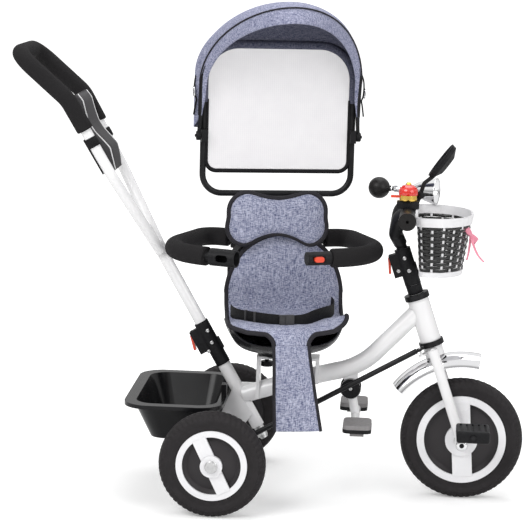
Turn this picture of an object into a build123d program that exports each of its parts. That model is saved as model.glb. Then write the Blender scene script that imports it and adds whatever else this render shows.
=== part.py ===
from build123d import *
import math
import os

# Children's push tricycle, millimetres, +X forward, +Y to the rider's left, +Z up.
# The origin is on the floor under the middle of the overall box.

# Wheels
FRONT_WHEEL_RADIUS = 125
FRONT_AXLE_X = 400
REAR_WHEEL_RADIUS = 106
REAR_AXLE_X = -92
REAR_WHEEL_Y = 217
TYRE_WIDTH = 44

# Steering head
HEAD_TILT = 19.2
HEAD_LOW, HEAD_HIGH = 214, 304
HEAD_RADIUS, HEAD_BORE = 22, 15
STEERER_RADIUS = 14.9
CUP_RADIUS, CUP_HEIGHT = 25.5, 11
SLEEVE_LOW, SLEEVE_HIGH = 335, 412

# Push handle
HANDLE_TILT = 30
STUB_FOOT_X, STUB_FOOT_Z = -19, 131.5
STUB_LENGTH = 149
STUB_RADIUS, STUB_BORE = 13.5, 10.2
HANDLE_TUBE_RADIUS = 12.3
HANDLE_SLEEVE_LENGTH = 98
HANDLE_FOOT = 203
HANDLE_SPLIT = 430
HANDLE_BEND = 775
HANDLE_END_TILT = 49
HANDLE_END_RUN = 134.57
HANDLE_HALF_WIDTH = 96
FOAM_START = 705
HANDLE_FOAM_RADIUS = 17

# Steering linkage
ARM_SIDE, ARM_BACK, ARM_DROP = 36, 24.5, 13.5
ROD_RADIUS = 5.5
ROD_FOOT = -5.5
LINK_PIN_RADIUS = 2.5
LINK_EYE_RADIUS = 6.3

# Main tube
TUBE_RADIUS, TUBE_WALL = 18, 2
TUBE_BENDS = [150, 150]

# Seat, in a frame of its own: x across the seat, y to its back, turning about SEAT_X
SEAT_X = 24
SEAT_TURN = 12
SEAT_PLATE_Z = 283
PAN_HALF_WIDTH = 116
ARM_PIVOT_X, ARM_PIVOT_Y, ARM_Z = 86, 101.5, 510
ARM_HALF_WIDTH, ARM_FRONT_Y, ARM_CORNER = 154, -138, 112
ARM_FOAM_RADIUS, ARM_TUBE_RADIUS = 19, 9
ARM_LEFT_OPEN, ARM_RIGHT_OPEN = 31, 11
PLUG_LENGTH, PLUG_RADIUS = 50, 13.5
SOCKET_BORE, SOCKET_RADIUS = 14.2, 17.5
CANOPY_Y, CANOPY_POST_X = 125, 156
CANOPY_BAR_Z, CANOPY_TOP_Z = 601, 910
CANOPY_HINGE_Y, CANOPY_HINGE_Z = 112, 722
HOOP_X, HOOP_TOP_X, HOOP_REACH, HOOP_LEAN = 167, 146, 314, 35
FRAME_TUBE_RADIUS = 6.5

# Handlebar
BAR_X, BAR_Z, BAR_HALF = 273, 600, 212
BAR_RADIUS, GRIP_RADIUS, GRIP_LENGTH = 11, 15.5, 85
RISER_RADIUS = 13.5

# Footrest
FOOT_PIVOT_X, FOOT_PIVOT_Z = 170, 221
FOOT_POST_X, FOOT_BAR_Z = 182, 162
FOOT_Y = 95


def along_head(distance):
    """Point on the steering axis, measured up from the front axle."""
    lean = math.radians(HEAD_TILT)
    return Vector(FRONT_AXLE_X - distance * math.sin(lean), 0, FRONT_WHEEL_RADIUS + distance * math.cos(lean))


def along_handle(distance, side=0.0):
    """Point on the push-handle axis, measured up from the foot of the stub."""
    lean = math.radians(HANDLE_TILT)
    return Vector(STUB_FOOT_X - distance * math.sin(lean), side, STUB_FOOT_Z + distance * math.cos(lean))


def rod(points, radius, bends=0.0):
    """Round bar along straight runs joined by bends."""
    points = [Vector(p) for p in points]
    path = Line(points[0], points[1]) if len(points) == 2 else FilletPolyline(*points, radius=bends)
    return sweep(Plane(path @ 0, z_dir=path % 0) * Circle(radius), path=path)


def ring(centre, axis, outer, inner, height):
    """Washer or sleeve centred on a point."""
    plane = Plane(Vector(centre), z_dir=axis)
    blank = Cylinder(outer, height)
    if inner:
        blank = blank - Cylinder(inner, height + 2)
    return plane * blank


def revolve_y(points, centre):
    """Solid of revolution about the Y axis from (radius, y) corners."""
    profile = make_face(Polyline(*[(r, y, 0) for r, y in points], close=True))
    return Pos(*centre) * revolve(profile, Axis.Y)


def rounded_box(size, centre, radius):
    """Block with every edge rounded."""
    block = Box(*size)
    return Pos(*centre) * fillet(block.edges(), radius)


HEAD = Plane(along_head(0), x_dir=(0, -1, 0), z_dir=along_head(1) - along_head(0))
HEAD_AXIS = HEAD.z_dir
HANDLE = Plane(along_handle(0), x_dir=(0, -1, 0), z_dir=along_handle(1) - along_handle(0))
HANDLE_AXIS = HANDLE.z_dir
SEAT = Location((SEAT_X, 0, 0), (0, 0, SEAT_TURN))
parts = {}


# Frame welding: bent main tube, handle stub, gusset, rear axle tube and footrest lug
tube_path = [(-52, 0, 196), (70, 0, 236.5), (191, 0, 268), along_head(282)]
stub = rod([along_handle(0), along_handle(STUB_LENGTH)], STUB_RADIUS)
axle_tube = rod([(REAR_AXLE_X, -186, REAR_WHEEL_RADIUS), (REAR_AXLE_X, 186, REAR_WHEEL_RADIUS)], 14)
gusset_corners = [(-78, 0, 222), (-20, 0, 222), (-30, 0, 200)]
gusset = extrude(make_face(Polyline(*gusset_corners, close=True)), 4, dir=(0, 1, 0), both=True)
plate_corners = [(-70, 0, 218), (-30, 0, 160), (-72, 0, 98), (-108, 0, 98), (-112, 0, 118)]
plate = extrude(make_face(Polyline(*plate_corners, close=True)), 3, dir=(0, 1, 0))
side_plates = [Pos(0, side, 0) * plate for side in (12, -15)]
lug = Pos(FOOT_PIVOT_X, 0, 243) * Box(28, 20, 22)
lug_cheeks = [Pos(FOOT_PIVOT_X, side, 225) * Box(20, 3, 36) for side in (-11.5, 11.5)]
welding = rod(tube_path, TUBE_RADIUS, TUBE_BENDS) + stub + axle_tube + gusset + side_plates + lug + lug_cheeks
welding = welding - rod(tube_path, TUBE_RADIUS - TUBE_WALL, TUBE_BENDS)
welding = welding - rod([along_handle(-40), along_handle(STUB_LENGTH + 5)], STUB_BORE)
welding = welding - rod([(REAR_AXLE_X, -200, REAR_WHEEL_RADIUS), (REAR_AXLE_X, 200, REAR_WHEEL_RADIUS)], 5.05)
welding = welding - rod([along_head(200), along_head(320)], HEAD_RADIUS)
foot_hole = rod([(FOOT_PIVOT_X, -30, FOOT_PIVOT_Z), (FOOT_PIVOT_X, 30, FOOT_PIVOT_Z)], 4.05)
parts["main_frame"] = welding - foot_hole

# Head tube and its two bearing cups
head = rod([along_head(HEAD_LOW), along_head(HEAD_HIGH)], HEAD_RADIUS)
parts["head_tube"] = head - rod([along_head(HEAD_LOW - 5), along_head(HEAD_HIGH + 5)], HEAD_BORE)
cup_places = (HEAD_LOW - CUP_HEIGHT / 2, HEAD_HIGH + CUP_HEIGHT / 2)
cups = [ring(along_head(s), HEAD_AXIS, CUP_RADIUS, HEAD_BORE, CUP_HEIGHT) for s in cup_places]
parts["headset_cups"] = Compound(children=cups)

# Seat bracket: a bent strap standing on the main tube, with a hole for the seat bolt
strap = Pos(40, 0, SEAT_PLATE_Z - 3) * Box(128, 44, 6)
leg_feet = ((-20.5, 196), (100.5, 232))
legs = [Pos(x, 0, (z + SEAT_PLATE_Z) / 2 - 3) * Box(7, 44, SEAT_PLATE_Z - z) for x, z in leg_feet]
bracket = strap + legs - rod(tube_path, TUBE_RADIUS + 0.02, TUBE_BENDS)
bracket = bracket - Pos(SEAT_X, 0, SEAT_PLATE_Z) * Cylinder(10.1, 40)
bracket = bracket - Pos(-4, 0, SEAT_PLATE_Z) * Cylinder(4.1, 40)
parts["seat_bracket"] = bracket

# Rear axle rod with a domed nut at each end
axle = rod([(REAR_AXLE_X, -248, REAR_WHEEL_RADIUS), (REAR_AXLE_X, 248, REAR_WHEEL_RADIUS)], 5)
for side in (-1, 1):
    nut_ends = [(REAR_AXLE_X, side * y, REAR_WHEEL_RADIUS) for y in (243, 250)]
    nut = rod(nut_ends, 11)
    axle = axle + nut
parts["rear_axle"] = axle


# Rear basket: tapered tub with a wide rim and two hooks over the frame
def basket_section(z, x_low, x_high, half_width, corner):
    return Plane((0, 0, z)) * Pos((x_low + x_high) / 2, 0) * RectangleRounded(
        x_high - x_low, 2 * half_width, corner)


bin_outer = loft([basket_section(124, -232, -112, 108, 30), basket_section(197, -262, -92, 145, 40)])
bin_inner = loft([basket_section(127, -229, -115, 105, 27), basket_section(210, -261.3, -93.4, 144.9, 39)])
bin_rim = extrude(basket_section(196, -282, -80, 164, 52), 8)
bin_shell = bin_outer + bin_rim - bin_inner
for side in (-1, 1):
    bin_shell = bin_shell + Pos(-87, side * 40, 215) * Box(10, 26, 24)
bin_shell = bin_shell - rod([along_handle(-20), along_handle(200)], 17)
parts["rear_basket"] = bin_shell

# Fork: steerer, crown, two legs, dropout eyes and the arm for the steering rod
FORK_LEG_Y, CROWN_LEVEL = 36, 193
steerer = rod([along_head(CROWN_LEVEL), along_head(SLEEVE_LOW + 20)], STEERER_RADIUS)
crown = rod([along_head(CROWN_LEVEL - 12), along_head(HEAD_LOW - CUP_HEIGHT - 0.4)], 20)
crown_ends = [along_head(CROWN_LEVEL) + (0, side * FORK_LEG_Y, 0) for side in (-1, 1)]
fork = steerer + crown + rod(crown_ends, 9)
for side in (-1, 1):
    leg_foot = Plane(along_head(9) + (0, side * FORK_LEG_Y, 0), x_dir=(0, 1, 0), z_dir=HEAD_AXIS)
    leg = extrude(leg_foot * Ellipse(7.5, 10.5), CROWN_LEVEL - 2)
    eye = ring((FRONT_AXLE_X, side * FORK_LEG_Y, FRONT_WHEEL_RADIUS), (0, 1, 0), 14, 0, 7)
    fork = fork + leg + eye
fork = fork - rod([(FRONT_AXLE_X, -60, FRONT_WHEEL_RADIUS), (FRONT_AXLE_X, 60, FRONT_WHEEL_RADIUS)], 6.1)
rod_lean = math.radians(HANDLE_TILT)
rear_pin = (HANDLE * Pos(ARM_SIDE, -ARM_BACK, ROD_FOOT)).position
rod_dir = HANDLE.y_dir
head_back = HEAD.y_dir * -ARM_BACK + HEAD.x_dir * ARM_SIDE
rise = rod_dir.Z / rod_dir.X
rod_gap = rear_pin.Z + rise * (along_head(0).X + head_back.X - rear_pin.X) - along_head(0).Z - head_back.Z
arm_level = rod_gap / (HEAD_AXIS.Z - rise * HEAD_AXIS.X)
front_pin = along_head(arm_level) + head_back
arm_foot = along_head(arm_level - ARM_DROP)
arm_tip = arm_foot + head_back
steering_arm = Plane(arm_foot, z_dir=HEAD_AXIS) * Cylinder(9, 4) + ring(arm_tip, HEAD_AXIS, 7, 0, 4)
arm_bar = Plane((arm_foot + arm_tip) * 0.5, x_dir=head_back, z_dir=HEAD_AXIS) * Box(head_back.length, 12, 4)
link_pin = rod([arm_tip, arm_tip + HEAD_AXIS * (ARM_DROP + 4)], LINK_PIN_RADIUS)
parts["fork"] = fork + steering_arm + arm_bar + link_pin

# Front fender: a flared pressing over the tyre, hung from the fork crown
FENDER_RADIUS = 154
fender_profile = Pos(FENDER_RADIUS, 0) * (Ellipse(26, 33) - Ellipse(24.4, 31.4))
fender_profile = fender_profile - Pos(FENDER_RADIUS - 40, 0) * Rectangle(80, 90)
fender = revolve(Plane.XY * fender_profile, Axis.Y, revolution_arc=-64)
fender = Pos(FRONT_AXLE_X, 0, FRONT_WHEEL_RADIUS) * Rot(0, -79, 0) * fender
stay = rod([along_head(168), along_head(CROWN_LEVEL - 8)], 8)
fender = fender + stay - parts["fork"]
fender = fender - rod([along_head(40) + (0, -FORK_LEG_Y, 0), along_head(200) + (0, -FORK_LEG_Y, 0)], 10)
fender = fender - rod([along_head(40) + (0, FORK_LEG_Y, 0), along_head(200) + (0, FORK_LEG_Y, 0)], 10)
parts["front_fender"] = max(fender.solids(), key=lambda solid: solid.volume)

# Stem clamp: a split sleeve with a lug on its rear side
head_lean = math.radians(HEAD_TILT)
lug_angle = Plane(along_head(0), x_dir=(-math.cos(head_lean), 0, -math.sin(head_lean)),
                  z_dir=HEAD_AXIS)
sleeve = rod([along_head(SLEEVE_LOW), along_head(SLEEVE_HIGH)], 16.5)
sleeve = sleeve + lug_angle * Pos(18, 0, SLEEVE_HIGH - 30) * Box(26, 20, 48)
sleeve = sleeve + lug_angle * Pos(-16.8, 0, SLEEVE_LOW + 30) * Box(3, 9, 26)
sleeve = sleeve - rod([along_head(SLEEVE_LOW + 20), along_head(SLEEVE_HIGH + 5)], 11.1)
sleeve = sleeve - lug_angle * Pos(30, 0, SLEEVE_HIGH - 28) * Box(12, 12.6, 60)
sleeve = sleeve - rod([along_head(SLEEVE_LOW - 40), along_head(SLEEVE_LOW + 20)], STEERER_RADIUS)
parts["stem_sleeve"] = sleeve


def quick_lever(place):
    """Red cam lever: a pivot barrel and a curved finger tab."""
    barrel = Rot(90, 0, 0) * Cylinder(4.5, 11.5)
    finger = Pos(5.2, 0, -14) * Rot(0, -14, 0) * Box(5, 11.5, 30)
    pin = Rot(90, 0, 0) * Cylinder(2, 11.5)
    return place * (barrel + finger + pin)


lever_place = lug_angle.location * Pos(29.5, 0, SLEEVE_HIGH - 14)
parts["handlebar_lever"] = quick_lever(lever_place)


# Handlebar: a riser in the sleeve that forks into a swept bar with a grip at each end
RISER_FOOT = SLEEVE_LOW + 24
riser_top = along_head(SLEEVE_HIGH + 14)
bar = rod([along_head(RISER_FOOT), riser_top], BAR_RADIUS)
for side in (-1, 1):
    bar_points = [along_head(SLEEVE_HIGH + 6), Vector(250, side * 14, 545), Vector(256, side * 48, 584),
                  Vector(BAR_X, side * 80, BAR_Z), Vector(BAR_X, side * BAR_HALF, BAR_Z)]
    bar = bar + rod(bar_points, BAR_RADIUS, [18, 36, 24])
    bar = bar + rod([along_head(SLEEVE_HIGH + 11)] + bar_points[1:4], RISER_RADIUS, [18, 36])
for side in (-1, 1):
    bore_ends = [(BAR_X, side * (BAR_HALF - 14), BAR_Z), (BAR_X, side * (BAR_HALF + 14), BAR_Z)]
    bar = bar - rod(bore_ends, 3)
parts["handlebar"] = bar

grip_corners = [(BAR_RADIUS, 0), (GRIP_RADIUS, 0), (GRIP_RADIUS, 70), (17.3, 74),
                (17.3, GRIP_LENGTH), (3, GRIP_LENGTH),
                (3, GRIP_LENGTH - 3), (BAR_RADIUS, GRIP_LENGTH - 3)]
grip_face = make_face(Polyline(*grip_corners, close=True))
grip = revolve(grip_face, Axis.Y)
grip_start = BAR_HALF + 3 - GRIP_LENGTH
left_grip = Pos(BAR_X, grip_start, BAR_Z) * grip
parts["grips"] = Compound(children=[left_grip, mirror(left_grip, Plane.XZ)])

# Bell: strap and base, domed cover, and a sprung thumb lever at its rear
BELL_Y, BELL_RADIUS, BELL_FOOT = -119, 17.5, BAR_Z + BAR_RADIUS + 17
strap = ring((BAR_X, BELL_Y, BAR_Z), (0, 1, 0), BAR_RADIUS + 3, BAR_RADIUS, 10)
post = Pos(BAR_X, BELL_Y, BAR_Z + BAR_RADIUS + 10) * Box(42, 9.6, 15)
base = Pos(BAR_X, BELL_Y, BELL_FOOT + 6) * Cylinder(BELL_RADIUS, 12)
base = fillet(base.edges().group_by(Axis.Z)[0], 4)
base = base - Pos(BAR_X - BELL_RADIUS, BELL_Y, BELL_FOOT + 8.5) * Box(16, 12, 7.4)
parts["bell_base"] = strap + post + base
dome_foot = BELL_FOOT + 12
dome = Pos(BAR_X, BELL_Y, dome_foot) * (Sphere(20) & Pos(0, 0, 10) * Cylinder(BELL_RADIUS + 0.6, 20))
button = Pos(BAR_X, BELL_Y, dome_foot + 20) * Sphere(4.5)
parts["bell_dome"] = dome + button
lever_pivot = Vector(BAR_X - 13, BELL_Y, BELL_FOOT + 8.5)
bell_lever = Pos(lever_pivot) * (Cylinder(2.6, 5) + Pos(-11, 0, 0) * Box(20, 7, 4.5))
parts["bell_lever"] = bell_lever

# Horn: rubber bulb and chrome trumpet on a strap clamp, its bulb swung outward
HORN_Y, HORN_Z, HORN_SWING = 118, 619, 15
horn_place = Pos(BAR_X, HORN_Y, HORN_Z) * Rot(0, 0, -HORN_SWING)
bulb = Pos(-63, 0, 0) * Sphere(22.5) + Pos(-41.2, 0, 0) * Rot(0, 90, 0) * Cylinder(6, 8)
parts["horn_bulb"] = horn_place * bulb
trumpet_outer = [(-37, 5), (-10, 6), (20, 9), (44, 15), (60, 27)]
trumpet_inner = [(60, 25.6), (44, 13.4), (20, 7.4), (-10, 4.4), (-36, 3.4)]
trumpet_side = Spline(*[(x, r) for x, r in trumpet_outer])
trumpet_bore = Spline(*[(x, r) for x, r in trumpet_inner])
trumpet_ends = [Line(trumpet_outer[-1], trumpet_inner[0]), Line(trumpet_inner[-1], trumpet_outer[0])]
trumpet = revolve(make_face([trumpet_side, trumpet_bore] + trumpet_ends), Axis.X)
parts["horn_trumpet"] = horn_place * trumpet

# Accessory clamps: straps for horn, mirror and front basket
horn_band = ring((BAR_X, HORN_Y, BAR_Z), (0, 1, 0), BAR_RADIUS + 2.5, BAR_RADIUS, 8)
horn_band = horn_band + horn_place * ring((0, 0, 0), (1, 0, 0), 9, 6.6, 8)
MIRROR_Y = -103
clamps = [horn_band - bar - horn_place * Rot(0, 90, 0) * Cylinder(6.55, 30)]

# Mirror: ball-jointed stem and an oval housing that faces back and up
MIRROR_TILT = 36
mirror_ball = Vector(297, MIRROR_Y, 640)
mirror_foot = Vector(322, MIRROR_Y, 678)
mirror_plane = Plane((338, MIRROR_Y, 706), x_dir=(0, 1, 0),
                     z_dir=(math.cos(math.radians(MIRROR_TILT)), 0, -math.sin(math.radians(MIRROR_TILT))))
housing_layers = ((-3, 29, 38), (4, 28, 37), (13, 14, 20))
housing_faces = [mirror_plane.offset(depth) * Ellipse(w, h) for depth, w, h in housing_layers]
mirror_arm = rod([mirror_ball, mirror_ball + (6, 0, 22), mirror_foot, mirror_foot + (10, 0, 12)], 4, [12, 10])
mirror_body = loft(housing_faces[:2]) + loft(housing_faces[1:]) + mirror_arm + Pos(mirror_ball) * Sphere(6.9)
parts["mirror"] = mirror_body - ring(mirror_ball, (0, 1, 0), 2.1, 0, 30)
ball_pin = ring(mirror_ball, (0, 1, 0), 2, 0, 18)
socket = Pos(mirror_ball) * (Sphere(9.5) - Sphere(7) - Pos(0, 0, 10) * Box(30, 30, 16)) + ball_pin
socket_arm = rod([(BAR_X + 10, MIRROR_Y, 604), mirror_ball], 4.5) - Pos(mirror_ball) * Sphere(9)
socket_band = ring((BAR_X, MIRROR_Y, BAR_Z), (0, 1, 0), BAR_RADIUS + 3.4, BAR_RADIUS, 9)
clamps.append(socket + socket_arm + socket_band - bar)
parts["accessory_clamps"] = Compound(children=clamps)

# Front basket: white moulded rim, floor ring and ribs, with a dark band woven through them
BASKET_BACK, BASKET_TOP, BASKET_FOOT = 290, 592, 470
BASKET_LEAN = 10


def tub_section(z, inset):
    """D-shaped section: flat towards the bar, round to the front."""
    rise = (z - BASKET_FOOT) / (BASKET_TOP - BASKET_FOOT)
    half_width = 84 + 20 * rise - inset
    front = 386 + 18 * rise - inset
    back = BASKET_BACK + BASKET_LEAN * (1 - rise) + inset
    side = back + (front - back) * 0.45
    shoulder = side + (front - side) * 0.74
    outline = [Line((back, -half_width + 18), (back, half_width - 18)),
               ThreePointArc((back, half_width - 18), (back + 6, half_width - 5), (back + 20, half_width)),
               Line((back + 20, half_width), (side, half_width)),
               ThreePointArc((side, half_width), (shoulder, half_width * 0.68), (front, 0)),
               ThreePointArc((front, 0), (shoulder, -half_width * 0.68), (side, -half_width)),
               Line((side, -half_width), (back + 20, -half_width)),
               ThreePointArc((back + 20, -half_width), (back + 6, -half_width + 5), (back, -half_width + 18))]
    return Plane((0, 0, z)) * make_face(outline)


def tub_wall(low, high, outside, inside):
    outer = loft([tub_section(low, outside), tub_section(high, outside)])
    inner = loft([tub_section(low, inside), tub_section(high, inside)])
    return outer - inner


RIM_LOW, FOOT_HIGH = BASKET_TOP - 18, BASKET_FOOT + 11
weave = tub_wall(FOOT_HIGH, RIM_LOW, 0.6, 4)
rim = tub_wall(RIM_LOW, BASKET_TOP, -1, 4)
foot_ring = tub_wall(BASKET_FOOT, FOOT_HIGH, 0, 4) + extrude(tub_section(BASKET_FOOT, 2), 3)
parts["basket_frame"] = Compound(children=[rim, foot_ring])
parts["basket_weave"] = weave

# Basket bracket: two straps from the bar to the back of the basket
straps = [rod([(258, side * 52, 582), (BASKET_BACK - 0.6, side * 52, 582)], 4) for side in (-1, 1)]
straps = [strap_bar - bar for strap_bar in straps]
straps = [max(strap_bar.solids(), key=lambda s: s.center().X) for strap_bar in straps]
parts["basket_straps"] = Compound(children=straps)

# Ribbon bow on the front of the basket
bow = [Pos(409.5, side * 8, 566) * Rot(0, 0, side * 20) * Box(5, 14, 11) for side in (-1, 1)]
bow_tail = Pos(405.5, 0, 546) * Rot(0, -8, 0) * Box(2, 8, 30)
parts["ribbon_bow"] = Compound(children=[fillet(b.edges(), 1.5) for b in bow] + [bow_tail])


# Wheels: foam tyre, moulded disc and white trim with a ring, a bar and a hub cap
def wheel(name, centre, radius, ring_outer, ring_inner, hub, bar_width, bar_lean, outward, bore):
    half = TYRE_WIDTH / 2
    rim_radius = ring_outer - 1
    tread = [(rim_radius, -half + 7), (rim_radius, half - 7), (radius - 14, half), (radius - 4, half - 6),
             (radius, half - 14), (radius, -half + 14), (radius - 4, -half + 6), (radius - 14, -half)]
    parts[name + "_tyre"] = revolve_y(tread, centre)
    web = [(bore, -16), (hub, -16), (ring_inner - 8, -8), (rim_radius - 8, -half + 8),
           (rim_radius, -half + 8), (rim_radius, half - 8), (rim_radius - 8, half - 8),
           (ring_inner - 8, 8), (hub, 16), (bore, 16)]
    parts[name + "_disc"] = revolve_y(web, centre)
    trims = []
    for side in outward:
        hoop = ring((0, 0, 0), (0, 1, 0), ring_outer, ring_inner, 4)
        cap = Pos(0, 4, 0) * ring((0, 0, 0), (0, 1, 0), hub, bore, 8)
        bar_length = 2 * (ring_inner + 1)
        spoke = Rot(0, bar_lean, 0) * Box(bar_width, 6, bar_length) - ring((0, 0, 0), (0, 1, 0), bore, 0, 30)
        trim = hoop + cap + spoke
        trims.append(Pos(centre) * Rot(0, 0, 0 if side > 0 else 180) * Pos(0, half - 4.5, 0) * trim)
    trims = [t - parts[name + "_disc"] - parts[name + "_tyre"] for t in trims]
    parts[name + "_trim"] = Compound(children=[s for t in trims for s in t.solids()])


wheel("front", Vector(FRONT_AXLE_X, 0, FRONT_WHEEL_RADIUS), FRONT_WHEEL_RADIUS, 91, 76, 33, 40, 4, (-1, 1), 8)
for side, name in ((1, "rear_left"), (-1, "rear_right")):
    centre = Vector(REAR_AXLE_X, side * REAR_WHEEL_Y, REAR_WHEEL_RADIUS)
    wheel(name, centre, REAR_WHEEL_RADIUS, 70.5, 58, 22, 28, -26 * side, (side,), 5.08)

# Crank axle through the front hub, with an offset arm at each end and a pedal on each arm
CRANK_Y, CRANK_THROW = 62, 42
CRANK_ANGLE = 62
turn = math.radians(CRANK_ANGLE)
throw = Vector(math.cos(turn) * CRANK_THROW, 0, math.sin(turn) * CRANK_THROW)
hub_point = Vector(FRONT_AXLE_X, 0, FRONT_WHEEL_RADIUS)
crank = rod([hub_point + (0, -CRANK_Y, 0), hub_point + (0, CRANK_Y, 0)], 6)
crank = crank + ring(hub_point, (0, 1, 0), 8, 0, 32)
for side in (-1, 1):
    start = hub_point + (0, side * CRANK_Y, 0)
    pin = start - throw * side
    crank = crank + rod([start, pin], 6) + Pos(start) * Sphere(6) + Pos(pin) * Sphere(6)
    crank = crank + rod([pin, pin + (0, side * 88, 0)], 5)
parts["crank"] = crank
for side, name in ((1, "pedal_left"), (-1, "pedal_right")):
    pin = hub_point + (0, side * CRANK_Y, 0) - throw * side
    block = rounded_box((66, 74, 24), (0, 0, 0), 5)
    for rib in (-24, -12, 0, 12, 24):
        for face in (-1, 1):
            block = block - Pos(rib, 0, face * 12) * Box(4, 56, 5)
    block = block - Rot(90, 0, 0) * Cylinder(5.1, 90)
    parts[name] = Pos(pin + (0, side * 47, 0)) * block

# Push handle steerer: a shaft in the stub with the steering lever at its foot
shaft = rod([along_handle(-24), along_handle(STUB_LENGTH + 6)], STUB_BORE - 0.1)
lever_span = Vector(ARM_SIDE, -ARM_BACK, 0)
lever_plane = Plane(HANDLE.from_local_coords(lever_span * 0.5 + Vector(0, 0, -17)),
                    x_dir=HANDLE.from_local_coords(lever_span) - HANDLE.origin, z_dir=HANDLE_AXIS)
shaft_lever = lever_plane * Box(lever_span.length + 12, 14, 5)
shaft_nut = HANDLE * Pos(0, 0, -25) * Cylinder(8, 6)
shaft_pin = HANDLE * Pos(ARM_SIDE, -ARM_BACK, -9.5) * Cylinder(LINK_PIN_RADIUS, 18)
parts["handle_steerer"] = shaft + shaft_lever + shaft_nut + shaft_pin

# Clamp sleeve on top of the stub, with a lug for its lever on the rear side
HANDLE_REAR = Plane(along_handle(0), x_dir=(-math.cos(rod_lean), 0, -math.sin(rod_lean)), z_dir=HANDLE_AXIS)
sleeve_top = STUB_LENGTH + 0.4 + HANDLE_SLEEVE_LENGTH
handle_sleeve = rod([along_handle(STUB_LENGTH + 0.4), along_handle(sleeve_top)], 15)
handle_sleeve = handle_sleeve + HANDLE_REAR * Pos(18, 0, sleeve_top - 34) * Box(26, 20, 52)
handle_sleeve = handle_sleeve + HANDLE_REAR * Pos(-16, 0, sleeve_top - 56) * Box(4, 9, 26)
handle_sleeve = handle_sleeve - rod([along_handle(STUB_LENGTH + 6), along_handle(sleeve_top + 5)], 12.4)
handle_sleeve = handle_sleeve - shaft
handle_sleeve = handle_sleeve - HANDLE_REAR * Pos(30, 0, sleeve_top - 32) * Box(12, 12.6, 64)
parts["handle_sleeve"] = handle_sleeve
parts["handle_lever"] = quick_lever(HANDLE_REAR.location * Pos(29.5, 0, sleeve_top - 18))


# Push handle: one tube that splits into two and returns in a bent loop, with foam on the loop
def handle_loop(start):
    """Corner points of the loop from the near side over the end to the far side."""
    lean = math.radians(HANDLE_END_TILT)
    run = Vector(-math.sin(lean), 0, math.cos(lean)) * HANDLE_END_RUN
    bend = along_handle(HANDLE_BEND, -HANDLE_HALF_WIDTH)
    half = [bend, bend + run]
    if start > 600:
        spread = 80 + (HANDLE_HALF_WIDTH - 80) * (start - 600) / (HANDLE_BEND - 600)
        half = [along_handle(start, -spread)] + half
    else:
        half = [along_handle(start, -11), along_handle(600, -80)] + half
    return half + [Vector(p.X, -p.Y, p.Z) for p in reversed(half)]


loop_bends = [90, 70, 42, 42, 70, 90]
handle_tube = rod(handle_loop(HANDLE_SPLIT - 16), 11, loop_bends)
handle_mast = rod([along_handle(HANDLE_FOOT), along_handle(HANDLE_SPLIT + 4)], HANDLE_TUBE_RADIUS)
handle_tube = handle_tube + handle_mast
handle_tube = handle_tube + HANDLE * Pos(0, 0, HANDLE_SPLIT + 18) * Box(34, 8, 50)
foam_core = rod(handle_loop(FOAM_START), 11.05, loop_bends[1:-1])
handle_tube = handle_tube - rod([along_handle(HANDLE_FOOT - 5), along_handle(HANDLE_SPLIT - 25)], 10.3)
parts["push_handle_tube"] = handle_tube
parts["handle_foam"] = rod(handle_loop(FOAM_START), HANDLE_FOAM_RADIUS, loop_bends[1:-1]) - foam_core

# Pouch hung between the two tubes: a flat bag that bulges to the rear
pouch_faces = []
for distance, width, depth in ((620, 52, 8), (650, 58, 26), (700, 60, 24), (758, 62, 8)):
    pouch_faces.append(HANDLE_REAR * Pos(2, 0, distance) * RectangleRounded(depth, 2 * width, 3.9))
parts["pouch"] = loft(pouch_faces, ruled=True)

# Steering rod between the handle lever and the fork arm, with an eye at each end
rod_body = rod([rear_pin + rod_dir * 5, front_pin - rod_dir * 7], ROD_RADIUS)
rod_body = rod_body + ring(rear_pin, HANDLE_AXIS, 8, 0, 7) + ring(front_pin, HANDLE_AXIS, 9, 0, 5)
rod_body = rod_body - ring(rear_pin, HANDLE_AXIS, LINK_PIN_RADIUS + 0.1, 0, 30)
rod_body = rod_body - ring(front_pin, HANDLE_AXIS, LINK_EYE_RADIUS, 0, 40)
parts["steering_rod"] = rod_body

# Hand knob under the seat plate
knob_at = Vector(-4, 0, SEAT_PLATE_Z)
knob = Pos(knob_at + (0, 0, -19)) * Cylinder(12, 10) + Pos(knob_at + (0, 0, -9)) * Cylinder(4, 18)
parts["seat_knob"] = knob


# Seat swivel base: a ribbed turntable on the bracket with a pin through it
turntable = Pos(0, 0, SEAT_PLATE_Z + 7) * Cylinder(40, 13) + Pos(0, 0, SEAT_PLATE_Z - 6) * Cylinder(10, 20)
parts["swivel_base"] = SEAT * turntable


# Bucket shell: a bowl with a low front edge and a tall back
def pan_section(z, half_width, front, back, corner):
    middle = (front + back) / 2
    return Plane((0, 0, z)) * Pos(0, middle) * RectangleRounded(2 * half_width, back - front, corner)


pan_outer = loft([pan_section(297, 62, -62, 56, 50), pan_section(316, 98, -104, 76, 64),
                  pan_section(352, PAN_HALF_WIDTH, -124, 92, 70)])
pan_inner = loft([pan_section(301, 59, -59, 53, 47), pan_section(317, 94, -100, 72, 60),
                  pan_section(352.5, PAN_HALF_WIDTH - 4, -120, 88, 66)])
front_dip = Pos(0, -130, 372) * Rot(0, 90, 0) * Cylinder(52, 300)
back_outline = [Line((-104, 330), (-104, 440)), ThreePointArc((-104, 440), (-74, 515), (0, 540)),
                ThreePointArc((0, 540), (74, 515), (104, 440)), Line((104, 440), (104, 330)),
                Line((104, 330), (-104, 330))]
back_plate = extrude(Plane.XZ.offset(-89.4) * make_face(back_outline), 5)
shell = pan_outer + back_plate - pan_inner - front_dip
parts["seat_shell"] = SEAT * shell


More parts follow.
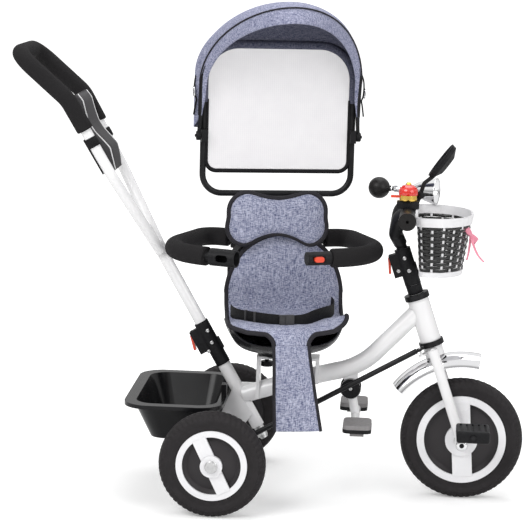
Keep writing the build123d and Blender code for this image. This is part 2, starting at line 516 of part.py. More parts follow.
# Padded cover: seat and back cushions joined in one L, crowned, with drawn-in edges
def back_pad_outline(grow):
    """Domed outline, widest low down and drawn in to a round top."""
    foot, waist = 118 + grow, 117 + grow
    shoulder, level = 88 + grow * 0.7, 486 + grow * 0.7
    return make_face([Line((-foot, 366), (-waist, 405)),
                      ThreePointArc((-waist, 405), (-112 - grow, 440), (-shoulder, level)),
                      ThreePointArc((-shoulder, level), (0, 524 + grow), (shoulder, level)),
                      ThreePointArc((shoulder, level), (112 + grow, 440), (waist, 405)),
                      Line((waist, 405), (foot, 366)),
                      Line((foot, 366), (-foot, 366))])


PAD_SHIFT = 9
back_layers = ((83.4, -4), (76, 3), (67, -9))
back_pad = loft([Plane.XZ.offset(-depth) * back_pad_outline(grow) for depth, grow in back_layers], ruled=True)
seat_levels = ((353, -5), (361, 2), (371, -10))
seat_faces = [pan_section(z, 114 + grow, -128 - grow, 83, 60) for z, grow in seat_levels]
seat_cushion = loft(seat_faces, ruled=True)
parts["seat_pad"] = SEAT * (Pos(PAD_SHIFT, 0, 0) * back_pad + seat_cushion)

# Leg flap hanging from the front of the cover, widening downwards, with a soft bow
FLAP_TOP, FLAP_FOOT = 352, 156
flap_corners = [(-32, FLAP_TOP), (-31, FLAP_FOOT), (66, FLAP_FOOT), (31, FLAP_TOP)]
flap_outline = Polyline(*flap_corners, close=True)
flap_blank = extrude(Plane.XZ.offset(90) * make_face(flap_outline), 120)
flap_front = Spline((-126, FLAP_TOP), (-137, 332), (-139, 270), (-138, 215), (-137, FLAP_FOOT))
flap_back = Spline((-130, FLAP_FOOT), (-131, 215), (-132, 270), (-130, 330), (-126, 345))
flap_ends = [Line((-137, FLAP_FOOT), (-130, FLAP_FOOT)), Line((-126, 345), (-126, FLAP_TOP))]
flap_side = [flap_front, flap_back] + flap_ends
flap_curve = extrude(Plane.YZ * make_face(flap_side), 80, both=True)
parts["leg_flap"] = SEAT * (flap_blank & flap_curve)


# Headrest pillow: waisted, crowned on its front face
def pillow_outline(grow):
    """Waisted outline: two lobes above and below, drawn in between them."""
    corner = grow * 0.7
    right = [ThreePointArc((0, 596 + grow), (30, 601 + grow), (64, 611 + grow)),
             ThreePointArc((64, 611 + grow), (95 + corner, 597 + corner), (101 + grow, 556)),
             ThreePointArc((101 + grow, 556), (92 + corner, 510 - corner), (64, 502 - grow)),
             ThreePointArc((64, 502 - grow), (30, 521 - grow), (0, 526 - grow))]
    return make_face(right + [mirror(edge, Plane.YZ) for edge in right])


HEADREST_SHIFT = -9
pillow_layers = ((66, -6), (55, 0), (42, -6), (33, -16))
pillow = loft([Plane.XZ.offset(-depth) * pillow_outline(grow) for depth, grow in pillow_layers], ruled=True)
parts["headrest"] = SEAT * Pos(HEADREST_SHIFT, 0, 0) * pillow

# Lap belt across the cover, with its buckle in the middle
belt_half = [(60, -70, 386), (106, -20, 392), (106, 64, 402)]
belt_path = [(-x, y, z) for x, y, z in reversed(belt_half)] + belt_half
belt_curve = FilletPolyline(*belt_path, radius=[20, 40, 40, 20])
belt_start = Plane(belt_curve @ 0, x_dir=(1, 0, 0), z_dir=belt_curve % 0)
belt = sweep(belt_start * Rectangle(2.4, 24), path=belt_curve)
buckle = rounded_box((34, 12, 29), (0, -70, 386), 3)
parts["lap_belt"] = SEAT * Compound(children=[belt - Pos(0, -70, 386) * Box(34, 12, 29), buckle])

# Seat-back and canopy frame: two uprights, a hinge bar for the arms and a closed loop above
loop_half = [(0, CANOPY_Y, CANOPY_BAR_Z), (CANOPY_POST_X, CANOPY_Y, CANOPY_BAR_Z),
             (CANOPY_POST_X, CANOPY_Y, CANOPY_TOP_Z), (0, CANOPY_Y, CANOPY_TOP_Z)]
loop_right = rod(loop_half, FRAME_TUBE_RADIUS, [40, 72])
frame = loop_right + mirror(loop_right, Plane.YZ)
for side in (-1, 1):
    upright = [(side * 30, 20, 290), (side * 46, 104, 290), (side * 46, 104, 420),
               (side * 46, CANOPY_Y - 2, CANOPY_BAR_Z)]
    frame = frame + rod(upright, FRAME_TUBE_RADIUS, [26, 60])
    knuckle = Pos(side * ARM_PIVOT_X, ARM_PIVOT_Y, ARM_Z) * Cylinder(11, 40)
    strut = Pos(side * 64, ARM_PIVOT_Y + 10, ARM_Z) * Box(48, 6, 40)
    slot = Pos(side * (ARM_PIVOT_X + 10), ARM_PIVOT_Y, ARM_Z) * Box(50, 40, 27)
    frame = frame + knuckle + strut - slot
frame = frame - turntable
for side in (-1, 1):
    frame = frame - Pos(side * ARM_PIVOT_X, ARM_PIVOT_Y, ARM_Z) * Cylinder(4.05, 60)
    hinge_pin = rod([(side * CANOPY_POST_X, CANOPY_HINGE_Y, CANOPY_HINGE_Z),
                     (side * (HOOP_X + 8), CANOPY_HINGE_Y, CANOPY_HINGE_Z)], 3)
    hinge_block = Pos(side * CANOPY_POST_X, CANOPY_HINGE_Y + 4, CANOPY_HINGE_Z) * Box(12, 24, 26)
    frame = frame + hinge_pin + hinge_block
parts["canopy_frame"] = SEAT * frame

# Canopy back panel stretched inside the frame loop
PANEL_LOW, PANEL_HALF = 648, 148.5
panel_right = [Line((0, PANEL_LOW), (PANEL_HALF - 24, PANEL_LOW)),
               ThreePointArc((PANEL_HALF - 24, PANEL_LOW), (PANEL_HALF - 7, PANEL_LOW + 7),
                             (PANEL_HALF, PANEL_LOW + 24)),
               Line((PANEL_HALF, PANEL_LOW + 24), (PANEL_HALF, 836)),
               ThreePointArc((PANEL_HALF, 836), (129, 882), (84, 902)), Line((84, 902), (0, 902))]
panel_outline = panel_right + [mirror(edge, Plane.YZ) for edge in panel_right]
parts["canopy_back_panel"] = SEAT * extrude(Plane.XZ.offset(-CANOPY_Y - 1) * make_face(panel_outline), 2)

# Canopy front hoop, turning on the hinge pins
HOOP = Plane((0, CANOPY_HINGE_Y, CANOPY_HINGE_Z), x_dir=(1, 0, 0),
             z_dir=(0, -math.cos(math.radians(HOOP_LEAN)), -math.sin(math.radians(HOOP_LEAN))))
hoop_points = [(-HOOP_X, 0), (-HOOP_TOP_X, HOOP_REACH), (HOOP_TOP_X, HOOP_REACH), (HOOP_X, 0)]
hoop_path = [HOOP.from_local_coords((x, y, 0)) for x, y in hoop_points]
hoop = rod(hoop_path, 4, 132)
for side in (-1, 1):
    eye_at = (side * HOOP_X, CANOPY_HINGE_Y, CANOPY_HINGE_Z)
    hoop = hoop + ring(eye_at, (1, 0, 0), 9, 0, 9) - ring(eye_at, (1, 0, 0), 3.05, 0, 40)
parts["canopy_front_hoop"] = SEAT * hoop


# Canopy roof: one curved cloth from the brim over the hoop to the frame loop, open below and in front
def arch(half_width, foot, shoulder, top, corner):
    """Basket-handle arch: upright sides, corner arcs and one wide arc over the top."""
    side = half_width - corner
    spare = top - shoulder - corner
    drop = (side ** 2 - spare ** 2) / (2 * spare)
    crown_radius = top - shoulder + drop
    share = crown_radius / math.hypot(side, drop)
    meet_x, meet_z = side * share, shoulder - drop + drop * share
    swing = math.atan2(meet_z - shoulder, meet_x - side) / 2
    mid_x, mid_z = side + corner * math.cos(swing), shoulder + corner * math.sin(swing)
    return make_face([Line((-half_width, foot), (-half_width, shoulder)),
                      ThreePointArc((-half_width, shoulder), (-mid_x, mid_z), (-meet_x, meet_z)),
                      ThreePointArc((-meet_x, meet_z), (0, top), (meet_x, meet_z)),
                      ThreePointArc((meet_x, meet_z), (mid_x, mid_z), (half_width, shoulder)),
                      Line((half_width, shoulder), (half_width, foot)),
                      Line((half_width, foot), (-half_width, foot))])


def roof_loft(thickness, foot):
    """Solid under the roof cloth, drawn in by the cloth's thickness."""
    faces = []
    for y, half_width, shoulder, top, corner in roof_arches:
        place = Plane((0, y, 0), x_dir=(1, 0, 0), z_dir=(0, -1, 0))
        outline = arch(half_width - thickness, foot, shoulder, top - thickness, corner - thickness)
        faces.append(place * outline)
    return loft(faces)


roof_arches = ((136, 172, 846, 932, 72), (64, 174, 860, 984, 102),
               (-20, 170, 864, 1005, 112), (-112, 147, 846, 984, 104))
roof = roof_loft(0, 735) - roof_loft(2.4, 730)
brim_cut = Plane((0, -108, 992), x_dir=(1, 0, 0), z_dir=(0, -0.8, -0.6))
roof = roof - brim_cut * Pos(0, 0, 200) * Box(600, 900, 400)
hem_cut = Plane((0, 112, 747), x_dir=(1, 0, 0), z_dir=(0, -0.1, -0.995))
roof = roof - hem_cut * Pos(0, 0, 200) * Box(600, 900, 400)
parts["canopy_roof"] = SEAT * roof


# Safety-bar arms: each a tube in foam, hinged behind the back, with the catch at its tip
def arm_route(tip, start=0):
    """Closed-bar route of the right arm from its hinge to the given tip."""
    return [(ARM_PIVOT_X + start, ARM_PIVOT_Y, ARM_Z), (ARM_HALF_WIDTH, ARM_PIVOT_Y, ARM_Z),
            (ARM_HALF_WIDTH, ARM_FRONT_Y, ARM_Z), (tip, ARM_FRONT_Y, ARM_Z)]


def opened(solid, side, angle):
    """Turn an arm outward about its hinge, then place it on the seat."""
    hinge = Pos(side * ARM_PIVOT_X, ARM_PIVOT_Y, 0)
    return SEAT * hinge * Rot(0, 0, side * angle) * hinge.inverse() * solid


arm_bends = [34, ARM_CORNER]
arm_hinge = Pos(ARM_PIVOT_X, ARM_PIVOT_Y, ARM_Z) * (Cylinder(10, 26) + Cylinder(4, 44))
catch_axis = (1, 0, 0)
foam_right = rod(arm_route(26, 13), ARM_FOAM_RADIUS, arm_bends)
foam_right = foam_right - rod(arm_route(20, 9), ARM_TUBE_RADIUS + 0.02, arm_bends)
foam_left = foam_right - Pos(0, ARM_FRONT_Y, ARM_Z) * Box(108, 60, 60)
plug = ring((0, ARM_FRONT_Y, ARM_Z), catch_axis, PLUG_RADIUS, 0, PLUG_LENGTH)
plug = plug - Pos(-3, ARM_FRONT_Y, ARM_Z) * Box(26.6, 40, 11.2)
right_core = arm_hinge + rod(arm_route(22), ARM_TUBE_RADIUS, arm_bends) + plug
parts["arm_right"] = opened(right_core, 1, ARM_RIGHT_OPEN)
parts["arm_right_foam"] = opened(foam_right, 1, ARM_RIGHT_OPEN)
latch = Pos(-3, ARM_FRONT_Y - 7, ARM_Z) * Box(20, 18.4, 10.8)
latch = fillet(latch.edges().filter_by(Axis.Y), 5)
parts["latch_button"] = opened(latch, 1, ARM_RIGHT_OPEN)
socket = ring((-4.5, ARM_FRONT_Y, ARM_Z), catch_axis, SOCKET_RADIUS, 0, 54)
socket = socket - ring((0.8, ARM_FRONT_Y, ARM_Z), catch_axis, SOCKET_BORE, 0, 52.5)
slot_block = Pos(-3, ARM_FRONT_Y - 20, ARM_Z) * Box(26, 30, 14)
socket = socket - fillet(slot_block.edges().filter_by(Axis.Y), 6.5)
left_core = mirror(arm_hinge + rod(arm_route(29), ARM_TUBE_RADIUS, arm_bends), Plane.YZ) + socket
parts["arm_left"] = opened(left_core, -1, ARM_LEFT_OPEN)
parts["arm_left_foam"] = opened(mirror(foam_left, Plane.YZ), -1, ARM_LEFT_OPEN)

# Footrest: pivot disc and post on a pin through the lug, with a platform on each side
disc = Pos(FOOT_PIVOT_X, 0, FOOT_PIVOT_Z) * Rot(90, 0, 0) * Cylinder(8, 19.4)
outer_disc = Rot(90, 0, 0) * Cylinder(21, 2.4)
outer_discs = [Pos(FOOT_PIVOT_X, side * 14.4, FOOT_PIVOT_Z) * outer_disc for side in (-1, 1)]
foot_pin = rod([(FOOT_PIVOT_X, -16, FOOT_PIVOT_Z), (FOOT_PIVOT_X, 16, FOOT_PIVOT_Z)], 4)
post = rod([(FOOT_PIVOT_X, 0, FOOT_PIVOT_Z), (FOOT_POST_X, 0, FOOT_BAR_Z)], 9.3)
cross_bar = rod([(FOOT_POST_X, -70, FOOT_BAR_Z), (FOOT_POST_X, 70, FOOT_BAR_Z)], 9)
parts["footrest_post"] = disc + outer_discs + foot_pin + post + cross_bar
platforms = []
for side in (-1, 1):
    middle = FOOT_POST_X - side * 6
    tread = Pos(middle, side * FOOT_Y, FOOT_BAR_Z + 3) * Box(57, 74, 16)
    tread = fillet(tread.edges().filter_by(Axis.Z), 12)
    tread = fillet(tread.edges().group_by(Axis.Z)[-1], 3)
    tread = tread + Pos(middle, side * (FOOT_Y + 6), FOOT_BAR_Z - 8) * Box(28, 50, 8)
    platforms.append(tread - rod([(FOOT_POST_X, -70, FOOT_BAR_Z), (FOOT_POST_X, 70, FOOT_BAR_Z)], 9.02))
parts["footrest_platforms"] = Compound(children=platforms)

os.makedirs("parts", exist_ok=True)
for name, shape in parts.items():
    export_step(shape, f"parts/{name}.step")
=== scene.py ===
import math

import bmesh
import bpy
import numpy as np
from mathutils import Matrix, Vector, noise


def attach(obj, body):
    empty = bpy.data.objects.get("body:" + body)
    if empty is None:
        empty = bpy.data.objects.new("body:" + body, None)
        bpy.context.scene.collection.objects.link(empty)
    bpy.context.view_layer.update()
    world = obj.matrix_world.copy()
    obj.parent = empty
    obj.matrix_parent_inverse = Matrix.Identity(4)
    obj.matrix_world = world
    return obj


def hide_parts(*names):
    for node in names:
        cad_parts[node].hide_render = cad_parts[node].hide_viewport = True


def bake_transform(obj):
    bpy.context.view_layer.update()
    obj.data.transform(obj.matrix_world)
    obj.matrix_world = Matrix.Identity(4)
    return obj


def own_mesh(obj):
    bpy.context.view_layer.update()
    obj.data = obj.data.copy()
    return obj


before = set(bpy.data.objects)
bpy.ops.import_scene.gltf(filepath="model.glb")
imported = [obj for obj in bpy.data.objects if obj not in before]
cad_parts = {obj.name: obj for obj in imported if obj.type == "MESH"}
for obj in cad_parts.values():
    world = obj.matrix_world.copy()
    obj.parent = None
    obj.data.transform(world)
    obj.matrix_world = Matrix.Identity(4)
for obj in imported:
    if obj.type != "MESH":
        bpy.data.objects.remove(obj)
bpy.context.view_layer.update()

# Welded frame: bent main tube, push-handle stub, axle tube and the strap that carries the seat.
# Steel tube and strip, ground at the welds and powder-coated gloss white.
# The fork, head tube and push handle share the coat, which has a faint orange peel and a slightly greyer tone
# in random clouds.


def add_group(name, **inputs):
    """Empty shader group for a surface, with its own named inputs."""
    group = bpy.data.node_groups.new(name, "ShaderNodeTree")
    for label, value in inputs.items():
        kind = "NodeSocketColor" if isinstance(value, tuple) else "NodeSocketFloat"
        socket = group.interface.new_socket(name=label, in_out="INPUT", socket_type=kind)
        socket.default_value = value
    for label, kind in (("Colour", "NodeSocketColor"), ("Roughness", "NodeSocketFloat"),
                        ("Height", "NodeSocketFloat")):
        group.interface.new_socket(name=label, in_out="OUTPUT", socket_type=kind)
    return group, group.nodes.new("NodeGroupInput").outputs


def set_results(group, colour, roughness, height):
    """Links a surface group's three results to its way out."""
    leave = group.nodes.new("NodeGroupOutput")
    for label, value in (("Colour", colour), ("Roughness", roughness), ("Height", height)):
        group.links.new(value, leave.inputs[label])


def plug(group, socket, value):
    """Sets a socket to a number or colour, or links another socket to it."""
    if isinstance(value, (int, float, tuple)):
        socket.default_value = value
    else:
        group.links.new(value, socket)


def add_noise(group, scale, detail, stretch=None):
    """Noise in the piece's own space, stretched along threads or brush marks if asked."""
    place = group.nodes.new("ShaderNodeTexCoord").outputs["Object"]
    if stretch:
        mapping = group.nodes.new("ShaderNodeMapping")
        mapping.inputs["Scale"].default_value = stretch
        group.links.new(place, mapping.inputs["Vector"])
        place = mapping.outputs["Vector"]
    pattern = group.nodes.new("ShaderNodeTexNoise")
    pattern.inputs["Detail"].default_value = detail
    group.links.new(place, pattern.inputs["Vector"])
    plug(group, pattern.inputs["Scale"], scale)
    return pattern.outputs["Fac"]


def add_math(group, kind, first, second=0.0):
    """One arithmetic step on two sockets or numbers."""
    step = group.nodes.new("ShaderNodeMath")
    step.operation = kind
    plug(group, step.inputs[0], first)
    plug(group, step.inputs[1], second)
    return step.outputs[0]


def add_mix(group, factor, first, second):
    """Blend of two colours by a factor held between 0 and 1."""
    mix = group.nodes.new("ShaderNodeMix")
    mix.data_type = "RGBA"
    for socket, value in ((mix.inputs[0], factor), (mix.inputs[6], first), (mix.inputs[7], second)):
        plug(group, socket, value)
    return mix.outputs[2]


mottle, given = add_group("mottled_surface", Colour=(0.8, 0.8, 0.8, 1), Tint=(0.6, 0.6, 0.6, 1), Scale=60.0,
                          Contrast=1.0, Roughness=0.4, Spread=0.1)
cloud = add_noise(mottle, given["Scale"], 3.0)
grain = add_noise(mottle, add_math(mottle, "MULTIPLY", given["Scale"], 9.0), 2.0)
patch = add_math(mottle, "MULTIPLY", add_math(mottle, "SUBTRACT", cloud, 0.42), given["Contrast"])
uneven = add_math(mottle, "MULTIPLY", add_math(mottle, "SUBTRACT", cloud, 0.5), given["Spread"])
set_results(mottle, add_mix(mottle, patch, given["Colour"], given["Tint"]),
            add_math(mottle, "ADD", given["Roughness"], uneven), grain)


def add_material(name, group, values, bump, distance, edge, shader):
    """Principled material driven by one group, with a bump and softly rounded edges."""
    material = bpy.data.materials.new(name)
    material.use_nodes = True
    nodes, links = material.node_tree.nodes, material.node_tree.links
    surface = nodes["Principled BSDF"]
    for socket, value in shader.items():
        surface.inputs[socket].default_value = value
    effect = nodes.new("ShaderNodeGroup")
    effect.node_tree = group
    for socket, value in values.items():
        effect.inputs[socket].default_value = value
    links.new(effect.outputs["Colour"], surface.inputs["Base Color"])
    links.new(effect.outputs["Roughness"], surface.inputs["Roughness"])
    relief = nodes.new("ShaderNodeBump")
    relief.inputs["Strength"].default_value = bump
    relief.inputs["Distance"].default_value = distance
    links.new(effect.outputs["Height"], relief.inputs["Height"])
    if edge:
        rounded = nodes.new("ShaderNodeBevel")
        rounded.samples = 4
        rounded.inputs["Radius"].default_value = edge
        links.new(rounded.outputs["Normal"], relief.inputs["Normal"])
    links.new(relief.outputs["Normal"], surface.inputs["Normal"])
    return material


def finish(name, colour, tint, scale, roughness, spread, bump=0.15, contrast=2.0, edge=0.0012, **shader):
    """Painted, plated or moulded finish."""
    values = {"Colour": colour + (1,), "Tint": tint + (1,), "Scale": scale, "Contrast": contrast,
              "Roughness": roughness, "Spread": spread}
    sockets = {socket.replace("_", " ").title().replace("Ior", "IOR"): value
               for socket, value in shader.items()}
    return add_material(name, mottle, values, bump, 0.0004, edge, sockets)


def paint(material, *nodes):
    """Gives solid parts their finish."""
    for node in nodes:
        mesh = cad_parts[node].data
        mesh.materials.clear()
        mesh.materials.append(material)


white_coat = finish("white_powder_coat", (0.86, 0.855, 0.86), (0.82, 0.815, 0.825), 14.0, 0.26, 0.05,
                    bump=0.04, coat_weight=0.35, coat_roughness=0.08)
paint(white_coat, "main_frame", "seat_bracket", "head_tube", "fork", "push_handle_tube")

# Rear axle: a zinc-plated steel rod with a domed nut at each end, cloudy and lightly brushed.
# The nuts close on the wheel hubs.
zinc = finish("zinc_plate", (0.62, 0.62, 0.62), (0.42, 0.42, 0.43), 120.0, 0.3, 0.25, bump=0.2, metallic=1.0)
paint(zinc, "rear_axle", "handle_steerer")

# Rear basket: a tub injection-moulded in gloss black polypropylene, with a broad turned-over rim.
# It hooks over the axle tube's plates; handling leaves faint cloudy patches in its gloss.
tub_gloss = finish("gloss_black_tub", (0.006, 0.006, 0.007), (0.011, 0.011, 0.012), 25.0, 0.24, 0.1,
                   bump=0.05, coat_weight=0.05, coat_roughness=0.08, specular_ior_level=0.2)
paint(tub_gloss, "rear_basket")

# Wheels: solid foam tyres on moulded discs, with a white ring, bar and hub cap pressed in from each side.
# Tyres are dull black foam rubber with notched shoulders and moulded sidewall rings.
MM = 0.001
FRONT_X, FRONT_Z = 400, 125
FRONT_AXLE = (FRONT_X, 0, FRONT_Z)
REAR_X, REAR_Z, REAR_HALF_TRACK = -92, 106, 217


def add_piece(name, points, faces, material, body=None):
    """Smooth-shaded mesh piece from points in millimetres, riding on a body."""
    mesh = bpy.data.meshes.new(name)
    mesh.from_pydata([tuple(point) for point in np.asarray(points, float) * MM], [], faces)
    mesh.materials.append(material)
    mesh.polygons.foreach_set("use_smooth", [True] * len(mesh.polygons))
    mesh.update()
    piece = bpy.data.objects.new(name, mesh)
    bpy.context.collection.objects.link(piece)
    if body:
        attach(piece, body)
    return piece


def grid_faces(rows, columns, loop=False, first=0):
    """Quads over a grid of points, closed round its columns where it loops."""
    faces = []
    for row in range(rows - 1):
        for column in range(columns if loop else columns - 1):
            after = (column + 1) % columns
            faces.append((first + row * columns + column, first + row * columns + after,
                          first + (row + 1) * columns + after, first + (row + 1) * columns + column))
    return faces


def closed_faces(rows, columns, first=0):
    """Quads over a grid that closes round both its rows and its columns."""
    return [tuple(first + index % (rows * columns) for index in face)
            for face in grid_faces(rows + 1, columns, True)]


def face_outward(piece, weld=0.0):
    """Turns every face of a piece the same way out, after welding points that lie close together."""
    work = bmesh.new()
    work.from_mesh(piece.data)
    if weld:
        bmesh.ops.remove_doubles(work, verts=work.verts, dist=weld)
    bmesh.ops.recalc_face_normals(work, faces=work.faces)
    work.to_mesh(piece.data)
    work.free()


def add_turning(name, corners, centre, axis, material, body, steps=48):
    """Turned piece: (radius, height) corners spun about an axis through a centre, closed on that axis."""
    axis = np.array(axis, float) / np.linalg.norm(axis)
    side = np.cross(axis, (0.3, 0.5, 0.81))
    side = side / np.linalg.norm(side)
    angles = np.arange(steps) * 2 * math.pi / steps
    spokes = np.outer(np.cos(angles), side) + np.outer(np.sin(angles), np.cross(axis, side))
    rings = [np.array(centre) + spokes * radius + axis * height for radius, height in corners]
    points = np.concatenate(rings + [[np.array(centre) + axis * corners[0][1]],
                                     [np.array(centre) + axis * corners[-1][1]]])
    faces = grid_faces(len(corners), steps, True)
    last = (len(corners) - 1) * steps
    for step in range(steps):
        after = (step + 1) % steps
        faces.append((len(points) - 2, after, step))
        faces.append((len(points) - 1, last + step, last + after))
    piece = add_piece(name, points, faces, material, body)
    face_outward(piece)
    return piece


def add_tyre(name, node, body, centre, radius, bead, lugs, material):
    """Tyre spun from its section, with notches cut across both shoulders."""
    half = [(bead, 14.6), (bead + 1.5, 16.8), (bead + 5, 18.8), (bead + 6.2, 18.1), (bead + 9, 20.0),
            (bead + 10.2, 19.4), (bead + 13, 21.0), (radius - 14, 21.9), (radius - 11.4, 21.5),
            (radius - 10.6, 20.6), (radius - 7, 19.6), (radius - 4, 16.8), (radius - 1.6, 12.6),
            (radius - 0.4, 7.5), (radius - 0.8, 4.0), (radius, 3.0)]
    section = [(r, -y) for r, y in half] + [(r, y) for r, y in reversed(half)]
    lug_steps = 6
    steps = lugs * lug_steps
    points = []
    for r, y in section:
        for step in range(steps):
            lean = (abs(y) - 8) * 0.22
            phase = (step + lean) % lug_steps / lug_steps
            notch = max(0.0, 1.0 - abs(phase - 0.5) / 0.22)
            deep = 2.6 if radius - 11 < r and 7 < abs(y) else 0.0
            reach = r - deep * min(1.0, notch * 1.6)
            angle = step * 2 * math.pi / steps
            points.append((centre[0] + reach * math.cos(angle), centre[1] + y,
                           centre[2] + reach * math.sin(angle)))
    tyre = add_piece(name, points, closed_faces(len(section), steps), material, body)
    face_outward(tyre)
    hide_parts(node)
    return tyre


tyre_foam = finish("tyre_foam", (0.022, 0.020, 0.021), (0.030, 0.027, 0.029), 90.0, 0.62, 0.1, bump=0.35,
                   edge=0, specular_ior_level=0.15)
disc_black = finish("disc_plastic", (0.030, 0.027, 0.029), (0.034, 0.031, 0.033), 40.0, 0.42, 0.1, bump=0.12,
                    specular_ior_level=0.25)
gloss_white = finish("gloss_white_plastic", (0.83, 0.825, 0.84), (0.77, 0.77, 0.785), 30.0, 0.28, 0.1,
                     bump=0.06)
paint(disc_black, "front_disc", "rear_left_disc", "rear_right_disc")
paint(gloss_white, "front_trim", "rear_left_trim", "rear_right_trim", "basket_frame")
for name, body, centre, radius, bead, lugs in (
        ("front", "front_wheel", FRONT_AXLE, FRONT_Z, 90, 62),
        ("rear_left", "rear_left_wheel", (REAR_X, REAR_HALF_TRACK, REAR_Z), REAR_Z, 69.5, 54),
        ("rear_right", "rear_right_wheel", (REAR_X, -REAR_HALF_TRACK, REAR_Z), REAR_Z, 69.5, 54)):
    add_tyre(name + "_tyre_notched", name + "_tyre", body, centre, radius, bead, lugs, tyre_foam)
for name, body, x, y, z, rim in (
        ("front_left_washer", "front_wheel", FRONT_X, 25.6, FRONT_Z, 15.5),
        ("front_right_washer", "front_wheel", FRONT_X, -25.6, FRONT_Z, 15.5),
        ("rear_left_hub_cup", "rear_left_wheel", REAR_X, 242.6, REAR_Z, 12.6),
        ("rear_right_hub_cup", "rear_right_wheel", REAR_X, -242.6, REAR_Z, 12.6)):
    dish = [(rim, 0), (rim, 1.6), (rim - 0.8, 2.4), (rim - 3.2, 2.6), (rim - 4.2, 1.6), (9.0, 1.4),
            (8.3, 0.4)]
    washer = add_turning(name, dish, (x, y, z), (0, math.copysign(1, y), 0), zinc, body)

# Fork, headset and fender: a welded fork in the white coat, black bearing cups and a chromed pressed fender.
# The fender hangs from the crown on a short stay.
black_coat = finish("black_enamel", (0.010, 0.010, 0.011), (0.022, 0.022, 0.024), 40.0, 0.34, 0.14, bump=0.1,
                    coat_weight=0.08, coat_roughness=0.25, specular_ior_level=0.15)
chrome = finish("chrome_plate", (0.82, 0.82, 0.83), (0.76, 0.76, 0.78), 18.0, 0.07, 0.04, bump=0.02,
                metallic=1.0)
paint(black_coat, "headset_cups")
paint(chrome, "front_fender", "horn_trumpet")

# Crank and pedals: a black steel crank through the front hub and ribbed nylon pedal blocks.
# A plated boss with a black plug closes each end of the hub; the pedals turn freely on the crank's pins.
black_plastic = finish("black_grained_plastic", (0.010, 0.010, 0.011), (0.020, 0.020, 0.022), 260.0, 0.42,
                       0.14, bump=0.25, specular_ior_level=0.13)
paint(black_coat, "crank")
paint(black_plastic, "pedal_left", "pedal_right")
for side, label in ((-1, "right"), (1, "left")):
    boss = [(6.2, 60.0), (11.0, 60.4), (11.8, 61.6), (11.8, 65.8), (10.8, 67.4), (7.6, 68.2), (5.2, 68.6)]
    crank_boss = add_turning("crank_boss_" + label, boss, FRONT_AXLE, (0, side, 0), chrome, "front_wheel")
    stopper = [(4.8, 68.2), (5.0, 69.0), (4.3, 69.8), (1.0, 70.0)]
    crank_plug = add_turning("crank_plug_" + label, stopper, FRONT_AXLE, (0, side, 0), black_plastic,
                             "front_wheel", 24)

# Handlebar and stem: a black clamp sleeve closed by an orange-red cam lever, with plated screws through it.
# A turned black cover hides the steerer; the bar is black enamelled tube with a rubber grip on each end.
red_plastic = finish("red_acetal", (0.80, 0.075, 0.03), (0.68, 0.05, 0.02), 90.0, 0.3, 0.12, bump=0.1)
rubber = finish("black_rubber", (0.012, 0.011, 0.011), (0.018, 0.017, 0.017), 180.0, 0.36, 0.12, bump=0.2,
                specular_ior_level=0.22)
paint(black_plastic, "stem_sleeve")
paint(red_plastic, "handlebar_lever", "handle_lever", "latch_button", "bell_lever")
paint(black_coat, "handlebar")
paint(rubber, "grips", "horn_bulb")


def add_screw(name, place, axis, head, body):
    """Plated pan-head screw with a sunk drive."""
    shape = [(head, 0), (head, 0.9), (head * 0.9, 1.7), (head * 0.62, 2.3), (head * 0.42, 2.4),
             (head * 0.36, 1.2), (0.2, 1.0)]
    screw = add_turning(name, shape, place, axis, zinc, body, 28)
    return screw


HEAD_LEAN = math.radians(19.2)


def on_head(distance, ahead=0.0, side=0.0):
    """Point by the steering axis: up from the front axle, ahead of it and to the left of it."""
    return (FRONT_X - distance * math.sin(HEAD_LEAN) + ahead * math.cos(HEAD_LEAN), side,
            FRONT_Z + distance * math.cos(HEAD_LEAN) + ahead * math.sin(HEAD_LEAN))


cover_shape = [(15.0, 0), (15.5, 0.2), (15.9, 1.0), (15.9, 18.2), (15.5, 19.0), (15.0, 19.2)]
up_head = np.subtract(on_head(1), on_head(0))
steerer_cover = add_turning("steerer_cover", cover_shape, on_head(315.4), up_head, black_plastic, "fork")
for name, up, ahead in (("stem_screw_top", 393.5, 0), ("stem_screw_rear", 371, -20),
                        ("stem_screw_front", 366, 1)):
    for side, label in ((-1, "right"), (1, "left")):
        deep = math.sqrt(max(16.5 ** 2 - ahead ** 2, 4.0)) if abs(ahead) < 12 else 9.6
        add_screw(name + "_" + label, on_head(up, ahead, side * (deep - 0.6)), (0, side, 0), 4.2, "fork")

# Mirror: an oval silvered glass sprung into a rim on a black moulded housing, on a bent arm.
# It sits on a strap clamp round the bar, as the bell and the horn do.
silvering = finish("mirror_glass", (0.86, 0.87, 0.88), (0.82, 0.83, 0.85), 20.0, 0.02, 0.01, bump=0.0,
                   metallic=1.0)
paint(black_plastic, "mirror", "accessory_clamps", "basket_straps")
MIRROR_LEAN, MIRROR_MIDDLE, OVAL_STEPS = math.radians(36), (338, -103, 706), 48
glass_away = np.array((-math.cos(MIRROR_LEAN), 0, math.sin(MIRROR_LEAN)))
glass_up = np.array((math.sin(MIRROR_LEAN), 0, math.cos(MIRROR_LEAN)))
glass_centre = np.array(MIRROR_MIDDLE) + glass_away * 3.0


def mirror_ring(across, tall, out):
    """Oval ring of points about the mirror's middle, raised out of its plane."""
    angles = np.arange(OVAL_STEPS) * 2 * math.pi / OVAL_STEPS
    ring = np.outer(across * np.cos(angles), (0, 1, 0)) + np.outer(tall * np.sin(angles), glass_up)
    return glass_centre + ring + glass_away * out


